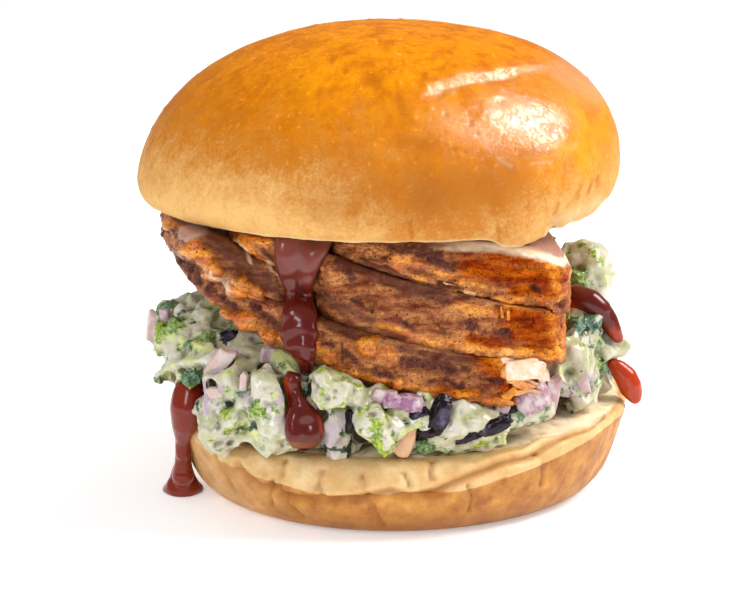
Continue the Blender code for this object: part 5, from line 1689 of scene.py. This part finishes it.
# egg-washed brioche crust: clear shine over orange-brown, paler and duller towards the cut
egg_wash, tree = blank_material("egg_washed_brioche_crust")
masks = {name: put(tree, "Attribute", {"attribute_name": name}).outputs["Fac"]
         for name in ("bake", "under", "pits", "line", "gold", "stain", "shine", "dusk")}
where = put(tree, "TexCoord").outputs["Object"]
blotch, grain, clouds, freckle, wrinkle = (
    put(tree, "TexNoise", {"Scale": scale, "Detail": detail, "Roughness": roughness, "Distortion": bent},
        {"Vector": where})
    for scale, detail, roughness, bent in ((260, 7, 0.68, 0), (1500, 4, 0.7, 0),
                                           (170, 7, 0.72, 0), (700, 2, 0.5, 0),
                                           (420, 6, 0.62, 0.4)))
speckle, fine_speckle = (put(tree, "Math", {"operation": "MULTIPLY_ADD", 1: share, 2: lower}, {0: noise})
                         for noise, share, lower in ((blotch, 0.75, -0.38), (grain, 0.7, -0.35)))
both = put(tree, "Math", {"operation": "ADD"}, {0: speckle, 1: fine_speckle})
done = put(tree, "Math", {"operation": "ADD"}, {0: masks["bake"], 1: both})
to_tan, to_brown, to_orange = (put(tree, "MapRange", {"From": (start, end)}, {"Value": done})
                               for start, end in ((-0.05, 0.45), (0.25, 0.72), (0.58, 1)))
cloudy = put(tree, "MapRange", {"From": (0.46, 0.58)}, {"Value": clouds})
freckles = put(tree, "MapRange", {"From": (0.64, 0.72), "To": (0, 0.6)}, {"Value": freckle})
from_middle = put(tree, "Math", {"operation": "SUBTRACT", 1: 0.5}, {0: wrinkle})
off_crease = put(tree, "Math", {"operation": "ABSOLUTE"}, {0: from_middle})
creases = put(tree, "MapRange", {"From": (0, 0.035)}, {"Value": off_crease})
# painted shade in the leathery creases
wrinkle_shade = put(tree, "MapRange", {"From": (1, 0), "To": (0, 0.35)}, {"Value": creases})
cloudy, freckles, wrinkle_shade = (put(tree, "Math", {"operation": "MULTIPLY"}, {0: mark, 1: masks["bake"]})
                               for mark in (cloudy, freckles, wrinkle_shade))
front_shade_share, stain_and_shade_share, pitted_shade, fold_shaded = (put(tree, "Math", {"operation": "MULTIPLY", 1: share}, {0: masks[name]})
                                 for name, share in (("dusk", 0.6), ("stain", 0.6), ("pits", 0.35),
                                                     ("line", 0.6)))
# painted highlight: where the egg wash shines most the crust is painted a paler pinkish cream
painted_highlight_tint = put(tree, "MapRange", {"From": (0.5, 1), "To": (0, 0.42)}, {"Value": masks["shine"]})
# straw at the cut, then tan, brown and orange as it bakes, with its marks, its painted shade and its
# painted highlight laid over
crust_tone = put(tree, "MixRGB", {"Color1": "#E3B46E", "Color2": "#C4843A"}, {"Fac": to_tan})
for share, tone in ((to_brown, "#C8740E"), (to_orange, "#E08602"), (cloudy, "#BE6A04"),
                    (masks["gold"], "#EC9A02"), (freckles, "#F8B23C"), (front_shade_share, "#9C5E26"),
                    (wrinkle_shade, "#B0600A"), (stain_and_shade_share, "#A85A06"), (pitted_shade, "#A8560E"),
                    (fold_shaded, "#B06A06"), (painted_highlight_tint, "#EDB48C"), (masks["under"], "#E6C793")):
    crust_tone = put(tree, "MixRGB", {"Color2": tone}, {"Fac": share, "Color1": crust_tone})
fine_leather = put(tree, "Bump", {"Strength": 0.3, "Distance": 0.0003}, {"Height": grain})
leather = put(tree, "Bump", {"Strength": 0.5, "Distance": 0.00008},
              {"Height": creases, "Normal": fine_leather})
dulled = put(tree, "MapRange", {"From": (0.15, 0.6), "To": (0.55, 0.36)}, {"Value": masks["bake"]})
glossy = put(tree, "MapRange", {"To": (0.06, 1)}, {"Value": masks["shine"]})
skin = put(tree, "BsdfPrincipled",
           {"IOR": 1.45, "Specular IOR Level": 0.02, "Coat IOR": 1.85, "Coat Roughness": 0.25},
           {"Base Color": crust_tone, "Coat Weight": glossy, "Roughness": dulled, "Normal": leather,
            "Coat Normal": leather})
put(tree, "OutputMaterial", links={"Surface": skin})

crown = serve("bun_crown_baked", crown_mesh, egg_wash)
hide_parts("bun_crown")
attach(crown, "root")


bpy.context.view_layer.update()
